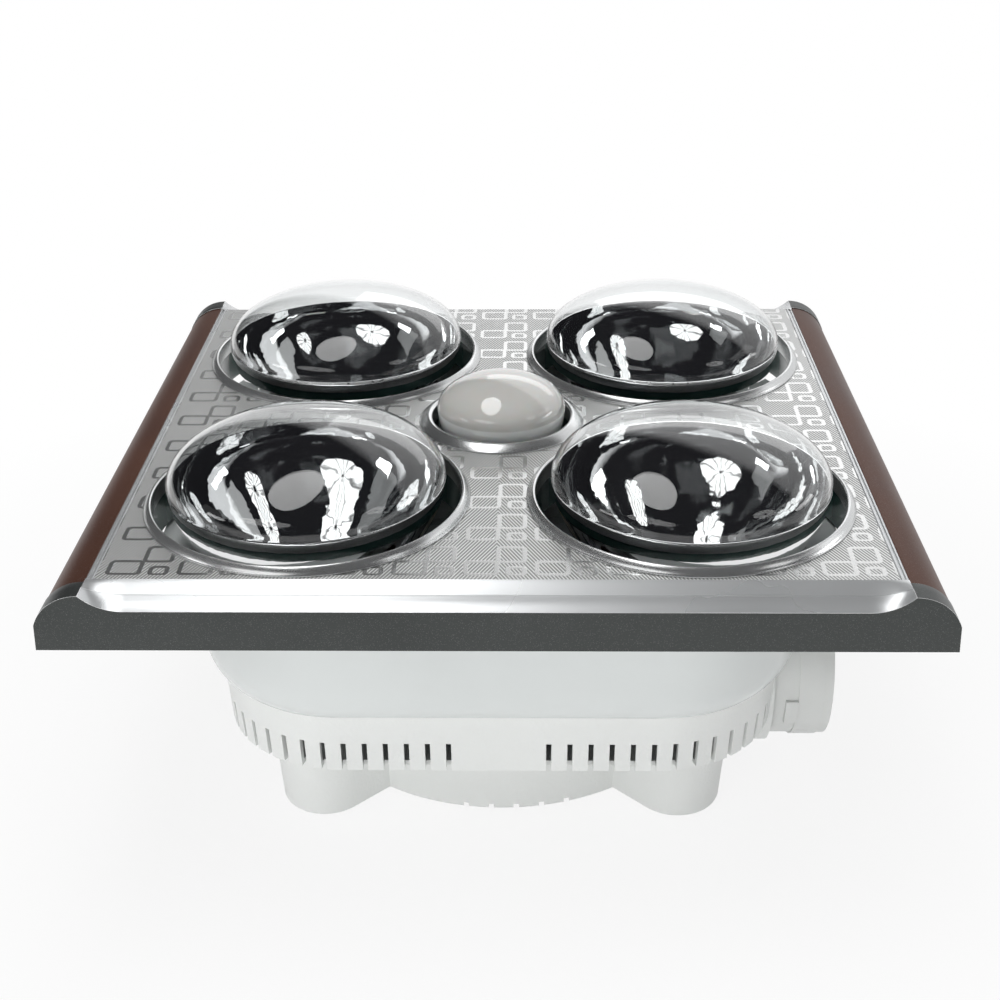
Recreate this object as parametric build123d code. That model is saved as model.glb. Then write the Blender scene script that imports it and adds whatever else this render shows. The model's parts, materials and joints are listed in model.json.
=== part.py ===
from build123d import *
import math
import os

# A ceiling unit with four infrared heat lamps, an opal lamp and an extractor fan.
# It lies face up: +Z comes out of the lamps' side, +X is to the right and +Y away from the front.
# The origin is the centre of the ceiling plane, where the panel's rim and the flange bear.
# All sizes are in millimetres.

# Shared values
overrun = 1.0                 # how far a cutting solid runs past what it cuts
sheet_gap = 0.2               # flat pieces that lie beside each other
moving_gap = 0.4              # pieces on different bodies

# Panel
plate_margin_x = 5.5          # plate's edge beyond the rings
plate_margin_y = 0.5
crest_height = 25.6           # plate top and crest of the rails
side_height = 11.7            # upright part of the ends
side_draft = 0.5              # lean of that upright part
front_edge_height = 18.4      # top edge of the mouldings' outer face
crease_height = 22.2          # crease half way up the mouldings' slope
moulding_depth = 14.5         # from the outer face to the plate
crease_depth = 7.2
flare_length = 17.8           # length of the hollow sweep up to each corner
flare_shares = [0, 0.25, 0.5, 0.7, 0.85, 1]
cap_depth = 12.0              # end caps, along the rails
shell_wall = 2.0
rail_width = 20.0
rail_set_back = 0.4           # rails lie this far under the end caps' surface
bead_width = 3.3
bead_height = 6.0
bead_groove = 0.8
plate_thickness = 1.0
deck_thickness = 2.5
skirt_wall = 2.5
skirt_foot = 1.5              # skirt's lower edge over the ceiling plane

# Lamp places and rings
ring_space = 25.0             # between neighbouring rings
lamp_gap = 6.9                # air gap round a heat lamp
ring_width = 4.1
ring_top = 29.3
ring_neck_wall = 1.0
ring_neck_drop = 4.6
ring_edge = 0.8               # upright edge where a ring meets the plate
ring_swell = 0.2              # how far a ring's slope bulges out
ring_crest_share = 0.3        # where the crest lies across a ring's width
ring_mouth_share = 0.3        # how full the rounding of its mouth is
well_wall = 0.7
well_foot = 4.0               # lower edge of the dark wells
centre_flange_width = 13.0    # of the centre well's flange, from the tube's bore
centre_flange_lap = 3.0       # of that flange under the deck
opal_gap = 2.65
centre_ring_width = 6.6
centre_ring_top = 29.2

# Reflector heat lamp
lamp_radius = 62.5
lamp_widest = 36.5
lamp_top = 62.0
lamp_waist_radius = 38.5      # bowl's radius half way down
lamp_waist = -10.0
lamp_neck_radius = 19.0
lamp_neck_top = -62.0
lamp_glass_wall = 1.2
lamp_cap_top = -88.0

# Opal lamp
opal_radius = 31.75
opal_widest = 33.0
opal_top = 49.0
opal_waist_radius = 25.0
opal_waist = 9.0
opal_neck_radius = 14.4
opal_neck_length = 18.0       # from the end of its bend to its cap
opal_glass_wall = 1.0
opal_cap_room = 38.0          # its cap's top above the tub's floor

# Filaments, as shares of the filament ring's radius
filament_share = 0.7          # that radius, of the bulb's neck
stem_share = 0.45
stem_top_share = 0.22
wire_share = 0.063
coil_share = 0.088

# Screw caps and ceramic holders
neck_taper = 10.0             # length over which a bulb's neck narrows to its cap
cap_radius = 12.6
cap_ridge = 0.6
cap_ridges = 6
cap_length = 22.0
cap_tip_radius = 4.6
cap_tip_length = 6.0
shell_gap = 0.5
brass_wall = 0.4
holder_radius = 18.4
holder_head_room = 3.0        # holder's rim over the top of the cap
holder_edge = 0.75
holder_flare = 1.6            # widening of the holder's mouth
holder_step_share = 0.75      # how far down the cap's tip the bore's step lies
contact_thickness = 1.0
contact_width = 8.0
contact_gap = 0.3

# Upper housing
tub_corner = 71.0
tub_draft = 4.0               # degrees
tub_depth = 68.0
tub_edge = 24.0
tub_wall = 2.5
flange_gap = 1.5              # flange to the panel's skirt
flange_width = 12.0
flange_thickness = 2.5
mount_inset = 6.0             # mounting holes from the flange's edge
mount_spacing_y = 120.0
mount_hole_radius = 2.5
floor_ledge = 42.0            # tub's half width to its floor opening
floor_opening_corner = 31.0
recess_half = 60.0
recess_depth = 1.2
recess_drop = 37.0
recess_corner = 8.0

# Lower housing
base_set_in = 10.5            # lower housing's rim inside the upper one's
base_corner = 62.0
base_lap = 8.0                # lower housing's rim above the tub's floor
base_band = 32.0              # height of its upright band
base_belly = 45.5             # depth of what hangs under that band
base_wall = 2.5
base_draft = 4.0              # degrees
base_ledge = 2.5
base_opening_step = 2.0
base_opening_corner = 33.0
hump_radius = 105.0
pocket_half = 24.5
pocket_edge = 3.0
slot_width = 2.4
slot_pitch = 9.6
slot_first = 22.8
slot_height = 15.5
grille_slots = 5
grille_width = 2.7
grille_pitch = 12.3
grille_first = -16.9
grille_length = 44.0

# Duct outlet
duct_radius = 40.0
duct_wall = 2.0
duct_y = -46.0
duct_drop = 14.0              # outlet's axis under the tub's floor
duct_seat_gap = 0.3
duct_reach = 16.0             # the outlet's mouth beyond the tub's rim
duct_root_step = 0.8          # the outlet is this much smaller inside the housing
duct_collar = 4.5
duct_collar_step = 0.6
duct_hole_gap = 0.3
boss_gap = 0.6
boss_wall = 2.2
boss_reach = 36.0             # how far the boss runs in behind the outlet
rib_set_back = 22.5           # the rib from the outlet's mouth
rib_length = 6.0
rib_height = 1.1
rib_low_angle = 183.0
rib_high_angle = 204.0
seat_width = 2.5
seat_thickness = 1.5
flap_gap = 1.2                # flap edge to the outlet's wall
flap_thickness = 1.2
flap_pin_radius = 1.2
flap_pin_gap = 0.3
knuckle_radius = 2.6
knuckle_length = 14.0
flap_hinge_edge = 3.0

# Reflector tray
tray_overlap = 11.0           # the tray's rim beyond the tub's floor opening
tray_corner = 41.0
tray_thickness = 1.0
lamp_pass_radius = 21.0       # holes that a lamp's neck goes through
tray_centre_hole = 50.0

# Fan
fan_x = -12.0
fan_y = 22.0
scroll_start_radius = 60.0
scroll_end_radius = 80.0
scroll_wall = 1.5
scroll_room = 7.0             # scroll case's top under the tub's floor
scroll_neck_length = 34.0
outlet_low_y = -58.0
outlet_high_y = -16.0
outlet_height = 33.0
disc_thickness = 2.0
disc_set_in = 21.5            # the scroll's round face inside the lower housing's rim
spigot_lip = 6.0
inlet_radius = 44.0
inlet_lip = 3.0
impeller_radius = 55.0
impeller_depth = 9.0
impeller_room = 5.0           # impeller's rim under the scroll case's top
impeller_length = 50.0
impeller_plate = 1.6
blade_count = 30
blade_thickness = 1.0
blade_angle = 35.0            # degrees
blade_share = 0.9             # blade width, of the rim's depth
hub_radius = 31.0
hub_wall = 1.8
hub_room = 12.0               # hub's top under the impeller's rim
hub_boss_radius = 7.0
hub_boss_drop = 3.5
motor_radius = 26.0
motor_room = 9.0              # motor's top under the hub's
motor_flange_radius = 29.5
motor_flange = 2.0
motor_collar_radius = 8.0
motor_collar = 2.0
shaft_radius = 3.0
shaft_end = 10.0              # length of the shaft above the hub
nut_width = 10.0
nut_height = 4.0

# Terminal box, gland and electrics
box_length = 56.0
box_depth = 26.0
box_height = 26.0
box_wall = 2.0
block_end_room = 4.0          # terminal block's ends to the box's walls
block_depth = 12.0
block_height = 14.0
block_ways = 5
block_way_radius = 1.8
gland_radius = 8.0
gland_bore_radius = 4.0
gland_length = 16.0
gland_nut_width = 18.0
gland_nut_thickness = 5.0
gland_drop = 12.5             # gland's axis under the box's top
capacitor_length = 36.0
capacitor_width = 15.0
capacitor_height = 25.0
ledge_inset = 2.0             # capacitor and cutout from the tub's floor opening
capacitor_edge = 1.5
cutout_radius = 8.0
cutout_height = 9.0
cutout_ear = 15.0

# Screws and clips
screw_radius = 1.6
screw_head_radius = 3.4
screw_head = 2.0
screw_slot = 0.9
screw_slot_depth = 1.0
screw_gap = 0.15
housing_screw_spread = 40.0
housing_screw_inset = 6.5
tray_screw_spread = 70.0
clip_width = 12.0
clip_thickness = 0.8
clip_foot = 9.0
clip_y = 18.0
clip_reach = -14.0
clip_bulge = 0.8
clip_bulge_length = 6.4
clip_screw_bite = 1.8
bridge_length = 124.0
bridge_width = 34.0
bridge_thickness = 1.5
bridge_screw_inset = 5.1
housing_screw_length = 4.8
sheet_screw_length = 3.3

# Values worked out from the ones above
opal_cap_top = -tub_depth + opal_cap_room
opal_neck_top = opal_cap_top + opal_neck_length
base_top = -tub_depth + base_lap
base_floor = base_top - base_band
base_foot = base_floor - base_belly
duct_z = -tub_depth - duct_drop
scroll_top = -tub_depth - scroll_room
outlet_foot = scroll_top - outlet_height
impeller_top = scroll_top - impeller_room
impeller_foot = impeller_top - impeller_length
hub_top = impeller_top - hub_room
motor_top = hub_top - motor_room
shaft_top = hub_top + shaft_end
box_top = -tub_depth + tub_edge + box_height
gland_z = box_top - gland_drop
block_length = box_length - 2 * (box_wall + block_end_room)
ring_inner_radius = lamp_radius + lamp_gap
ring_outer_radius = ring_inner_radius + ring_width
centre_ring_inner_radius = opal_radius + opal_gap
centre_ring_outer_radius = centre_ring_inner_radius + centre_ring_width
lamp_offset = ring_outer_radius + ring_space / 2
plate_half_x = lamp_offset + ring_outer_radius + plate_margin_x
plate_half_y = lamp_offset + ring_outer_radius + plate_margin_y
crest_x = plate_half_x + sheet_gap + bead_width
half_length = crest_x + rail_width
half_width = plate_half_y + moulding_depth
deck_top = crest_height - plate_thickness
lamp_places = {
    "front_left": (-lamp_offset, -lamp_offset),
    "front_right": (lamp_offset, -lamp_offset),
    "rear_left": (-lamp_offset, lamp_offset),
    "rear_right": (lamp_offset, lamp_offset),
}
ring_neck_radius = ring_inner_radius + ring_neck_wall
centre_ring_neck_radius = centre_ring_inner_radius + ring_neck_wall
well_radius = ring_neck_radius + sheet_gap
centre_well_radius = centre_ring_neck_radius + sheet_gap
centre_deck_radius = centre_well_radius + centre_flange_width - centre_flange_lap
shell_radius = cap_radius + cap_ridge + shell_gap
flange_half = plate_half_y - skirt_wall - flange_gap
tub_half = flange_half - flange_width
mount_spacing_x = 2 * (flange_half - mount_inset)
floor_opening_half = tub_half - floor_ledge
base_half = tub_half - base_set_in
base_opening_half = floor_opening_half + base_opening_step
tray_half = floor_opening_half + tray_overlap
housing_screw_offset = floor_opening_half + housing_screw_inset
capacitor_y = floor_opening_half + ledge_inset
cutout_y = -capacitor_y
duct_mouth = tub_half + duct_reach
rib_start = duct_mouth - rib_set_back
disc_face = base_half - disc_set_in
duct_start = disc_face + duct_seat_gap
scroll_end_x = disc_face - scroll_neck_length
boss_start = disc_face - boss_reach
tub_lean = math.tan(math.radians(tub_draft))
base_lean = math.tan(math.radians(base_draft))
clip_x = tub_half - tub_wall + clip_reach * tub_lean - clip_bulge - moving_gap
tray_foot = -tub_depth + tub_wall
tray_top = tray_foot + tray_thickness
inner_foot = base_foot + base_wall
disc_back = disc_face - disc_thickness
bridge_foot = tray_top

parts = {}


def keep(name, solid):
    """Remember a finished piece under its name."""
    solid.label = name
    parts[name] = solid


def upright(radius, low, high, x=0, y=0):
    """A round bar along Z between two heights."""
    return Pos(x, y, (low + high) / 2) * Cylinder(radius, high - low)


def along_x(radius, start, end, y, z):
    """A round bar along X between two places."""
    return Pos((start + end) / 2, y, z) * Rot(0, 90, 0) * Cylinder(radius, end - start)


def block(low, high):
    """A box between two corners."""
    size = [top - bottom for bottom, top in zip(low, high)]
    middle = [(top + bottom) / 2 for bottom, top in zip(low, high)]
    return Pos(*middle) * Box(*size)


def rounded_block(half_x, half_y, corner, low, high, draft=0):
    """A block with rounded upright corners; with a draft it gets smaller downwards."""
    face = Pos(0, 0, high) * RectangleRounded(2 * half_x, 2 * half_y, corner)
    return extrude(face, amount=high - low, dir=(0, 0, -1), taper=draft)


def turned(points, x=0, y=0):
    """A solid turned round an upright axis from (radius, height) corners."""
    outline = make_face(Plane.XZ * Polyline(*points, close=True))
    return Pos(x, y, 0) * revolve(outline, axis=Axis.Z)


def both_sides(solid):
    """The solid and its mirror image across the YZ plane."""
    return [solid, mirror(solid, about=Plane.YZ)]


def screw(head_top, length):
    """A round-headed screw that points down, with a slot across its head."""
    head = upright(screw_head_radius, head_top - screw_head, head_top)
    shank = upright(screw_radius, head_top - screw_head - length, head_top - screw_head)
    slot = block(
        (-screw_head_radius, -screw_slot / 2, head_top - screw_slot_depth),
        (screw_head_radius, screw_slot / 2, head_top + overrun),
    )
    return head + shank - slot


def group(solids):
    """Several separate solids kept as one node."""
    return Compound(children=[Part(solid.wrapped) for solid in solids])


# Panel pieces
def moulding_section(x, top_edge, crease):
    """The mouldings' thin cross-section at one place along the panel."""
    slope_start = -half_width
    slope_middle = slope_start + crease_depth
    slope_end = -plate_half_y
    points = [
        (slope_start, 0),
        (slope_start, top_edge),
        (slope_middle, crease),
        (slope_end, crest_height),
        (slope_end, crest_height - shell_wall),
        (slope_middle, crease - shell_wall),
        (slope_start + shell_wall, top_edge - shell_wall),
        (slope_start + shell_wall, 0),
    ]
    plane = Plane(origin=(x, 0, 0), x_dir=(0, 1, 0), z_dir=(1, 0, 0))
    return make_face(plane * Polyline(*points, close=True))


def flare_heights(share):
    """Height of the top edge and of the crease at a share of the way along the flare."""
    rise = crest_height - front_edge_height
    radius = (rise ** 2 + flare_length ** 2) / (2 * rise)
    run = share * flare_length
    top_edge = front_edge_height + radius - math.sqrt(radius ** 2 - run ** 2)
    crease = crease_height + (crest_height - crease_height) * share ** 2
    return top_edge, crease


def end_outline(inset):
    """Outline of the rounded end of the panel, seen along Y, drawn in by an inset."""
    crest = (crest_x, crest_height - inset)
    shoulder = (half_length - side_draft - inset, side_height)
    foot = (half_length - inset, 0)
    sweep = TangentArc(crest, shoulder, tangent=(1, 0))
    rest = Polyline(shoulder, foot, (crest_x, 0), crest)
    return make_face(Plane.XZ * (sweep + rest))


def end_solid(inset, start_y, end_y):
    """The rounded end of the panel between two places along Y."""
    face = Pos(0, end_y, 0) * end_outline(inset)
    return extrude(face, amount=end_y - start_y, dir=(0, -1, 0))


def end_cap():
    """The right-hand end cap of the front moulding, open below and behind."""
    outer = end_solid(0, -half_width, -half_width + cap_depth)
    inner = end_solid(shell_wall, -half_width + shell_wall, -half_width + cap_depth)
    return outer - inner


def front_moulding():
    right = [(crest_x - flare_length * (1 - share), flare_heights(share)) for share in flare_shares]
    left = [(-x, heights) for x, heights in reversed(right)]
    sections = [moulding_section(x, *heights) for x, heights in left + right]
    body = loft(sections, ruled=True)
    return body + both_sides(end_cap())


def rail():
    """The right-hand rail: a hollow rounded strip between the two end caps."""
    reach = half_width - cap_depth - sheet_gap
    outer = end_solid(rail_set_back, -reach, reach)
    inner = end_solid(rail_set_back + shell_wall, -reach, reach)
    leg = block((crest_x - overrun, -reach, -overrun), (crest_x + shell_wall, reach, crest_height))
    return outer - (inner - leg)


def bead():
    """The right-hand bead: a narrow strip with a groove along its top."""
    low = crest_height - bead_height
    solid = block((plate_half_x + sheet_gap, -plate_half_y, low), (crest_x, plate_half_y, crest_height))
    middle = crest_x - bead_width / 2
    groove = block(
        (middle - bead_groove / 2, -plate_half_y, crest_height - bead_groove),
        (middle + bead_groove / 2, plate_half_y, crest_height + overrun),
    )
    return solid - groove


def ring_holes(lamp_hole, centre_hole, low, high):
    """The five round cutters of a panel sheet."""
    holes = [upright(lamp_hole, low - overrun, high + overrun, x, y) for x, y in lamp_places.values()]
    return holes + [upright(centre_hole, low - overrun, high + overrun)]


def face_plate():
    sheet = block((-plate_half_x, -plate_half_y, deck_top), (plate_half_x, plate_half_y, crest_height))
    return sheet - ring_holes(well_radius, centre_well_radius, deck_top, crest_height)


def panel_frame():
    low = deck_top - deck_thickness
    ledge_top = crest_height - bead_height
    outer_x = plate_half_x
    deck = block((-outer_x, -plate_half_y, low), (outer_x, plate_half_y, deck_top))
    ledge = block((-crest_x, -plate_half_y, ledge_top - deck_thickness), (crest_x, plate_half_y, ledge_top))
    skirt = block((-outer_x, -plate_half_y, skirt_foot), (outer_x, plate_half_y, low))
    inside = block(
        (-outer_x + skirt_wall, -plate_half_y + skirt_wall, -overrun),
        (outer_x - skirt_wall, plate_half_y - skirt_wall, low),
    )
    frame = deck + (ledge + skirt - inside)
    pilot = upright(screw_radius + screw_gap, low - overrun, low + clip_screw_bite, clip_screw_x(), 0)
    return frame - ring_holes(well_radius, centre_deck_radius, low, deck_top) - four_clips(pilot)


def well(radius, x=0, y=0):
    """A dark tube round a lamp, hung from the underside of the deck."""
    top = deck_top - deck_thickness
    tube = upright(radius + well_wall, well_foot, top, x, y)
    return tube - upright(radius, well_foot - overrun, top + overrun, x, y)


def lamp_wells():
    """Four plain tubes, and a centre one whose flange laps the wider hole there from below."""
    top = deck_top - deck_thickness
    flange = upright(centre_well_radius + centre_flange_width, top - well_wall, top)
    centre = well(centre_well_radius) + (flange - upright(centre_well_radius, top - well_wall - overrun, top + overrun))
    return [well(well_radius, x, y) for x, y in lamp_places.values()] + [centre]


def ring(inner, outer, top, x=0, y=0):
    """A dished ring with a rounded lip and a neck that drops into the panel."""
    crest_radius = inner + (outer - inner) * ring_crest_share
    outline = Polyline(
        (inner, top - ring_edge),
        (inner, crest_height - ring_neck_drop),
        (inner + ring_neck_wall, crest_height - ring_neck_drop),
        (inner + ring_neck_wall, crest_height),
        (outer, crest_height),
        (outer, crest_height + ring_edge),
    )
    slope = ThreePointArc(
        (outer, crest_height + ring_edge),
        ((outer + crest_radius) / 2 + ring_swell, (crest_height + ring_edge + top) / 2 + ring_swell),
        (crest_radius, top),
    )
    mouth = ThreePointArc(
        (crest_radius, top),
        (inner + (crest_radius - inner) * ring_mouth_share, top - ring_edge * ring_mouth_share),
        (inner, top - ring_edge),
    )
    face = make_face(Plane.XZ * (outline + slope + mouth))
    return Pos(x, y, 0) * revolve(face, axis=Axis.Z)


def clip_screw_x():
    return clip_x - clip_foot / 2


def clip():
    """A leaf clip: a foot under the deck and a leg with a bulge that grips the housing."""
    top = deck_top - deck_thickness
    leg = block(
        (clip_x - clip_thickness, -clip_width / 2, clip_reach),
        (clip_x, clip_width / 2, top),
    )
    foot = block(
        (clip_x - clip_foot, -clip_width / 2, top - clip_thickness),
        (clip_x, clip_width / 2, top),
    )
    bulge_low = clip_reach + clip_thickness
    bulge = make_face(
        Plane.XZ
        * (
            ThreePointArc(
                (clip_x, bulge_low),
                (clip_x + clip_bulge, bulge_low + clip_bulge_length / 2),
                (clip_x, bulge_low + clip_bulge_length),
            )
            + Line((clip_x, bulge_low + clip_bulge_length), (clip_x, bulge_low))
        )
    )
    barb = extrude(Pos(0, clip_width / 2, 0) * bulge, amount=clip_width, dir=(0, -1, 0))
    hole = upright(screw_radius + screw_gap, top - clip_thickness - overrun, top, clip_screw_x(), 0)
    return leg + foot + barb - hole


def clip_screw():
    """The screw that holds a clip's foot, head down."""
    top = deck_top - deck_thickness
    upward = Rot(180, 0, 0) * screw(0, clip_thickness + clip_screw_bite)
    return Pos(clip_screw_x(), 0, top - clip_thickness - screw_head) * upward


def four_clips(solid):
    """Copies of a clip's solid at the four clip places."""
    near = [Pos(0, side * clip_y, 0) * solid for side in (-1, 1)]
    return near + [mirror(copy, about=Plane.YZ) for copy in near]


# Lamps and holders
def bulb_solid(radius, widest, top, waist_radius, waist, neck_radius, neck_top, foot, inset):
    """A filled bulb, drawn in all round by an inset."""
    reach = radius - inset
    neck = neck_radius - inset
    crown = top - inset
    quarter_share = math.sqrt(0.5)
    shoulder = (reach * quarter_share, widest + (crown - widest) * quarter_share)
    dome = Spline((reach, widest), shoulder, (0, crown), tangents=((0, 1), (-1, 0)))
    bowl = Spline((neck, neck_top), (waist_radius - inset, waist), (reach, widest), tangents=((0, 1), (0, 1)))
    sides = Polyline(
        (0, crown),
        (0, foot + inset),
        (cap_radius - inset, foot + inset),
        (neck, foot + neck_taper),
        (neck, neck_top),
    )
    return revolve(make_face(Plane.XZ * (dome + bowl + sides)), axis=Axis.Z)


def bulb(sizes, wall):
    """A hollow glass bulb."""
    return bulb_solid(*sizes, 0) - bulb_solid(*sizes, wall)


def screw_cap(top):
    """A screw cap: threaded shell, insulator and contact tip in one turned piece."""
    ridge_height = cap_length / cap_ridges
    curve = [Line((0, top), (cap_radius, top))]
    for number in range(cap_ridges):
        high = top - number * ridge_height
        curve.append(
            ThreePointArc(
                (cap_radius, high),
                (cap_radius + cap_ridge, high - ridge_height / 2),
                (cap_radius, high - ridge_height),
            )
        )
    low = top - cap_length
    tip = low - cap_tip_length
    curve.append(Polyline((cap_radius, low), (cap_tip_radius, tip), (0, tip), (0, top)))
    return revolve(make_face(Plane.XZ * Curve(children=curve)), axis=Axis.Z)


def filament(support_top, foot, reach):
    """A glass stem with two leads and a ring-shaped filament, in one piece."""
    stem = turned([
        (0, foot),
        (reach * stem_share, foot),
        (reach * stem_top_share, support_top),
        (0, support_top),
    ])
    arms = along_x(reach * wire_share, -reach, reach, 0, support_top)
    return stem + arms + Pos(0, 0, support_top) * Torus(reach, reach * coil_share)


def lamp_pieces(name, x, y):
    """The bulb, cap and filament of one reflector heat lamp."""
    place = Pos(x, y, 0)
    sizes = (
        lamp_radius, lamp_widest, lamp_top, lamp_waist_radius, lamp_waist,
        lamp_neck_radius, lamp_neck_top, lamp_cap_top,
    )
    keep("lamp_bulb_" + name, place * bulb(sizes, lamp_glass_wall))
    keep("lamp_cap_" + name, place * screw_cap(lamp_cap_top))
    stem_foot = lamp_cap_top + lamp_glass_wall
    reach = lamp_neck_radius * filament_share
    keep("lamp_filament_" + name, place * filament(-lamp_neck_radius, stem_foot, reach))


def opal_pieces():
    """The bulb, cap and filament of the opal lamp."""
    sizes = (
        opal_radius, opal_widest, opal_top, opal_waist_radius, opal_waist,
        opal_neck_radius, opal_neck_top, opal_cap_top,
    )
    keep("opal_bulb", bulb(sizes, opal_glass_wall))
    keep("opal_cap", screw_cap(opal_cap_top))
    stem_foot = opal_cap_top + opal_glass_wall
    keep("opal_filament", filament(opal_widest / 2, stem_foot, opal_neck_radius * filament_share))


def holder(cap_top, foot):
    """A ceramic holder with a bore for the brass shell and a pocket for the contact."""
    rim = cap_top + holder_head_room
    seat = cap_top - cap_length
    bore = shell_radius + brass_wall
    mouth = bore + holder_flare
    step = seat - cap_tip_length * holder_step_share
    contact_room = seat - cap_tip_length - contact_gap - contact_thickness
    return turned([
        (0, foot),
        (holder_radius, foot),
        (holder_radius, rim - holder_edge),
        (holder_radius - holder_edge, rim),
        (mouth, rim),
        (bore, rim - holder_head_room / 2),
        (bore, step),
        (contact_width, step),
        (contact_width, contact_room),
        (0, contact_room),
    ])


def brass_shell(cap_top, x, y):
    """The holder's threaded brass sleeve."""
    low = cap_top - cap_length
    sleeve = upright(shell_radius + brass_wall, low, cap_top, x, y)
    return sleeve - upright(shell_radius, low - overrun, cap_top + overrun, x, y)


def brass_contact(cap_top, x, y):
    """The centre contact at the bottom of the holder."""
    high = cap_top - cap_length - cap_tip_length - contact_gap
    half = contact_width / 2
    return block((x - half, y - half, high - contact_thickness), (x + half, y + half, high))


# Housing
def tub_solid(inset):
    """The filled upper housing, drawn in by an inset."""
    half = tub_half - inset
    foot = -tub_depth + inset
    solid = rounded_block(half, half, tub_corner - inset, foot, 0, tub_draft)
    solid = fillet(solid.faces().sort_by(Axis.Z)[0].edges(), tub_edge - inset)
    if inset:
        solid += rounded_block(half, half, tub_corner - inset, 0, flange_thickness + overrun)
    return solid


def duct_bore(radius, start, end):
    return along_x(radius, start, end, duct_y, duct_z)


def housing_screw_places():
    near = housing_screw_spread
    far = housing_screw_offset
    front_and_rear = [(side * near, end * far) for side in (-1, 1) for end in (-1, 1)]
    return front_and_rear + [(-far, near), (-far, -near), (far, near)]


def tray_screw_places():
    far = housing_screw_offset
    return [(side * tray_screw_spread, end * far) for side in (-1, 1) for end in (-1, 1)]


def bridge_screw_places():
    return [(side * (bridge_length / 2 - bridge_screw_inset), 0) for side in (-1, 1)]


def lamp_passes(low, high):
    """Cutters of the holes that the lamps' necks go through."""
    return [upright(lamp_pass_radius, low - overrun, high + overrun, x, y) for x, y in lamp_places.values()]


def housing_tub():
    flange_corner = tub_corner + flange_half - tub_half
    flange = rounded_block(flange_half, flange_half, flange_corner, 0, flange_thickness)
    low = -tub_depth - overrun
    high = tray_foot + overrun
    opening = rounded_block(floor_opening_half, floor_opening_half, floor_opening_corner, low, high)
    tub = tub_solid(0) + flange - tub_solid(tub_wall) - opening
    holes = [
        upright(mount_hole_radius, -overrun, flange_thickness + overrun, side * mount_spacing_x / 2,
                end * mount_spacing_y / 2)
        for side in (-1, 1) for end in (-1, 1)
    ]
    holes += [
        upright(screw_radius + screw_gap, low, high, x, y)
        for x, y in housing_screw_places() + tray_screw_places()
    ]
    holes.append(duct_bore(duct_radius + duct_hole_gap, disc_back, duct_mouth))
    holes.append(along_x(gland_radius, -tub_half - overrun, box_back(), 0, gland_z))
    holes += lamp_passes(-tub_depth, tray_foot)
    return tub - holes - [recess(-1), recess(1)]


def recess(side):
    """The shallow sunk panel in the front or rear wall of the tub."""
    face = Plane.XZ * Pos(0, -recess_drop / 2 + recess_corner, 0) * RectangleRounded(
        2 * recess_half, recess_drop + 2 * recess_corner, recess_corner
    )
    start = side * (tub_half - recess_depth)
    prism = extrude(Pos(0, start, 0) * face, amount=recess_depth + overrun, dir=(0, side, 0))
    return prism - block((-tub_half, -tub_half * 2, 0), (tub_half, tub_half * 2, recess_drop))


def base_forms(inset):
    """The forms that make up the filled lower housing, drawn in by an inset."""
    top = base_top if inset == 0 else -tub_depth - base_ledge
    half = base_half - inset - (base_top - top) * base_lean
    band = rounded_block(half, half, base_corner - inset, base_floor + inset, top, base_draft)
    pocket = SlotCenterToCenter(2 * lamp_offset * math.sqrt(2), 2 * (pocket_half - inset))
    plan = Circle(hump_radius - inset) + [Rot(0, 0, angle) * pocket for angle in (45, 135)]
    belly_face = Pos(0, 0, base_floor + inset) * plan
    belly = extrude(belly_face, amount=base_floor - base_foot, dir=(0, 0, -1), taper=base_draft)
    boss_radius = duct_radius + boss_gap + (boss_wall if inset == 0 else 0)
    boss_end = base_half - base_lean * (base_top - base_floor) if inset == 0 else duct_mouth
    boss = duct_bore(boss_radius, boss_start, boss_end)
    return [band, belly, boss]


def slot_places():
    """Centres and headings of the ventilation slots round the lower band."""
    lean = base_lean * (base_top - base_floor - slot_height / 2)
    half = base_half - lean
    corner = base_corner - lean
    straight = half - corner - slot_first
    path = 2 * straight + corner * math.pi / 2
    count = round(path / slot_pitch)
    places = []
    for number in range(count + 1):
        run = number * path / count
        if run < straight:
            places.append((slot_first + run, half, 90))
        elif run > path - straight:
            places.append((half, slot_first + path - run, 0))
        else:
            turn = (run - straight) / corner
            x = half - corner + corner * math.sin(turn)
            y = half - corner + corner * math.cos(turn)
            places.append((x, y, 90 - math.degrees(turn)))
    return places


def slot_cutters():
    """Cutters of the ventilation slots, left out where the duct's boss stands."""
    depth = 2 * base_wall
    height = slot_height + overrun
    cutter = Box(2 * depth, slot_width, height)
    middle = base_floor - overrun + height / 2
    cutters = []
    for x, y, heading in slot_places():
        for side_x in (-1, 1):
            for side_y in (-1, 1):
                near_duct = side_x > 0 and side_y < 0 and x > base_half - base_corner / 4
                if near_duct and abs(-y - duct_y) < duct_radius + 2 * boss_wall:
                    continue
                turn = math.degrees(math.atan2(side_y * math.sin(math.radians(heading)),
                                               side_x * math.cos(math.radians(heading))))
                cutters.append(Pos(side_x * x, side_y * y, middle) * Rot(0, 0, turn) * cutter)
    return cutters


def grille_cutters():
    """Cutters of the short slots under the fan motor, open at the hump's front edge."""
    cutters = []
    for number in range(grille_slots):
        x = grille_first + number * grille_pitch
        front = -hump_radius - overrun
        cutters.append(
            block(
                (x - grille_width / 2, front, base_foot - overrun),
                (x + grille_width / 2, front + grille_length, inner_foot + overrun),
            )
        )
    return cutters


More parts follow.
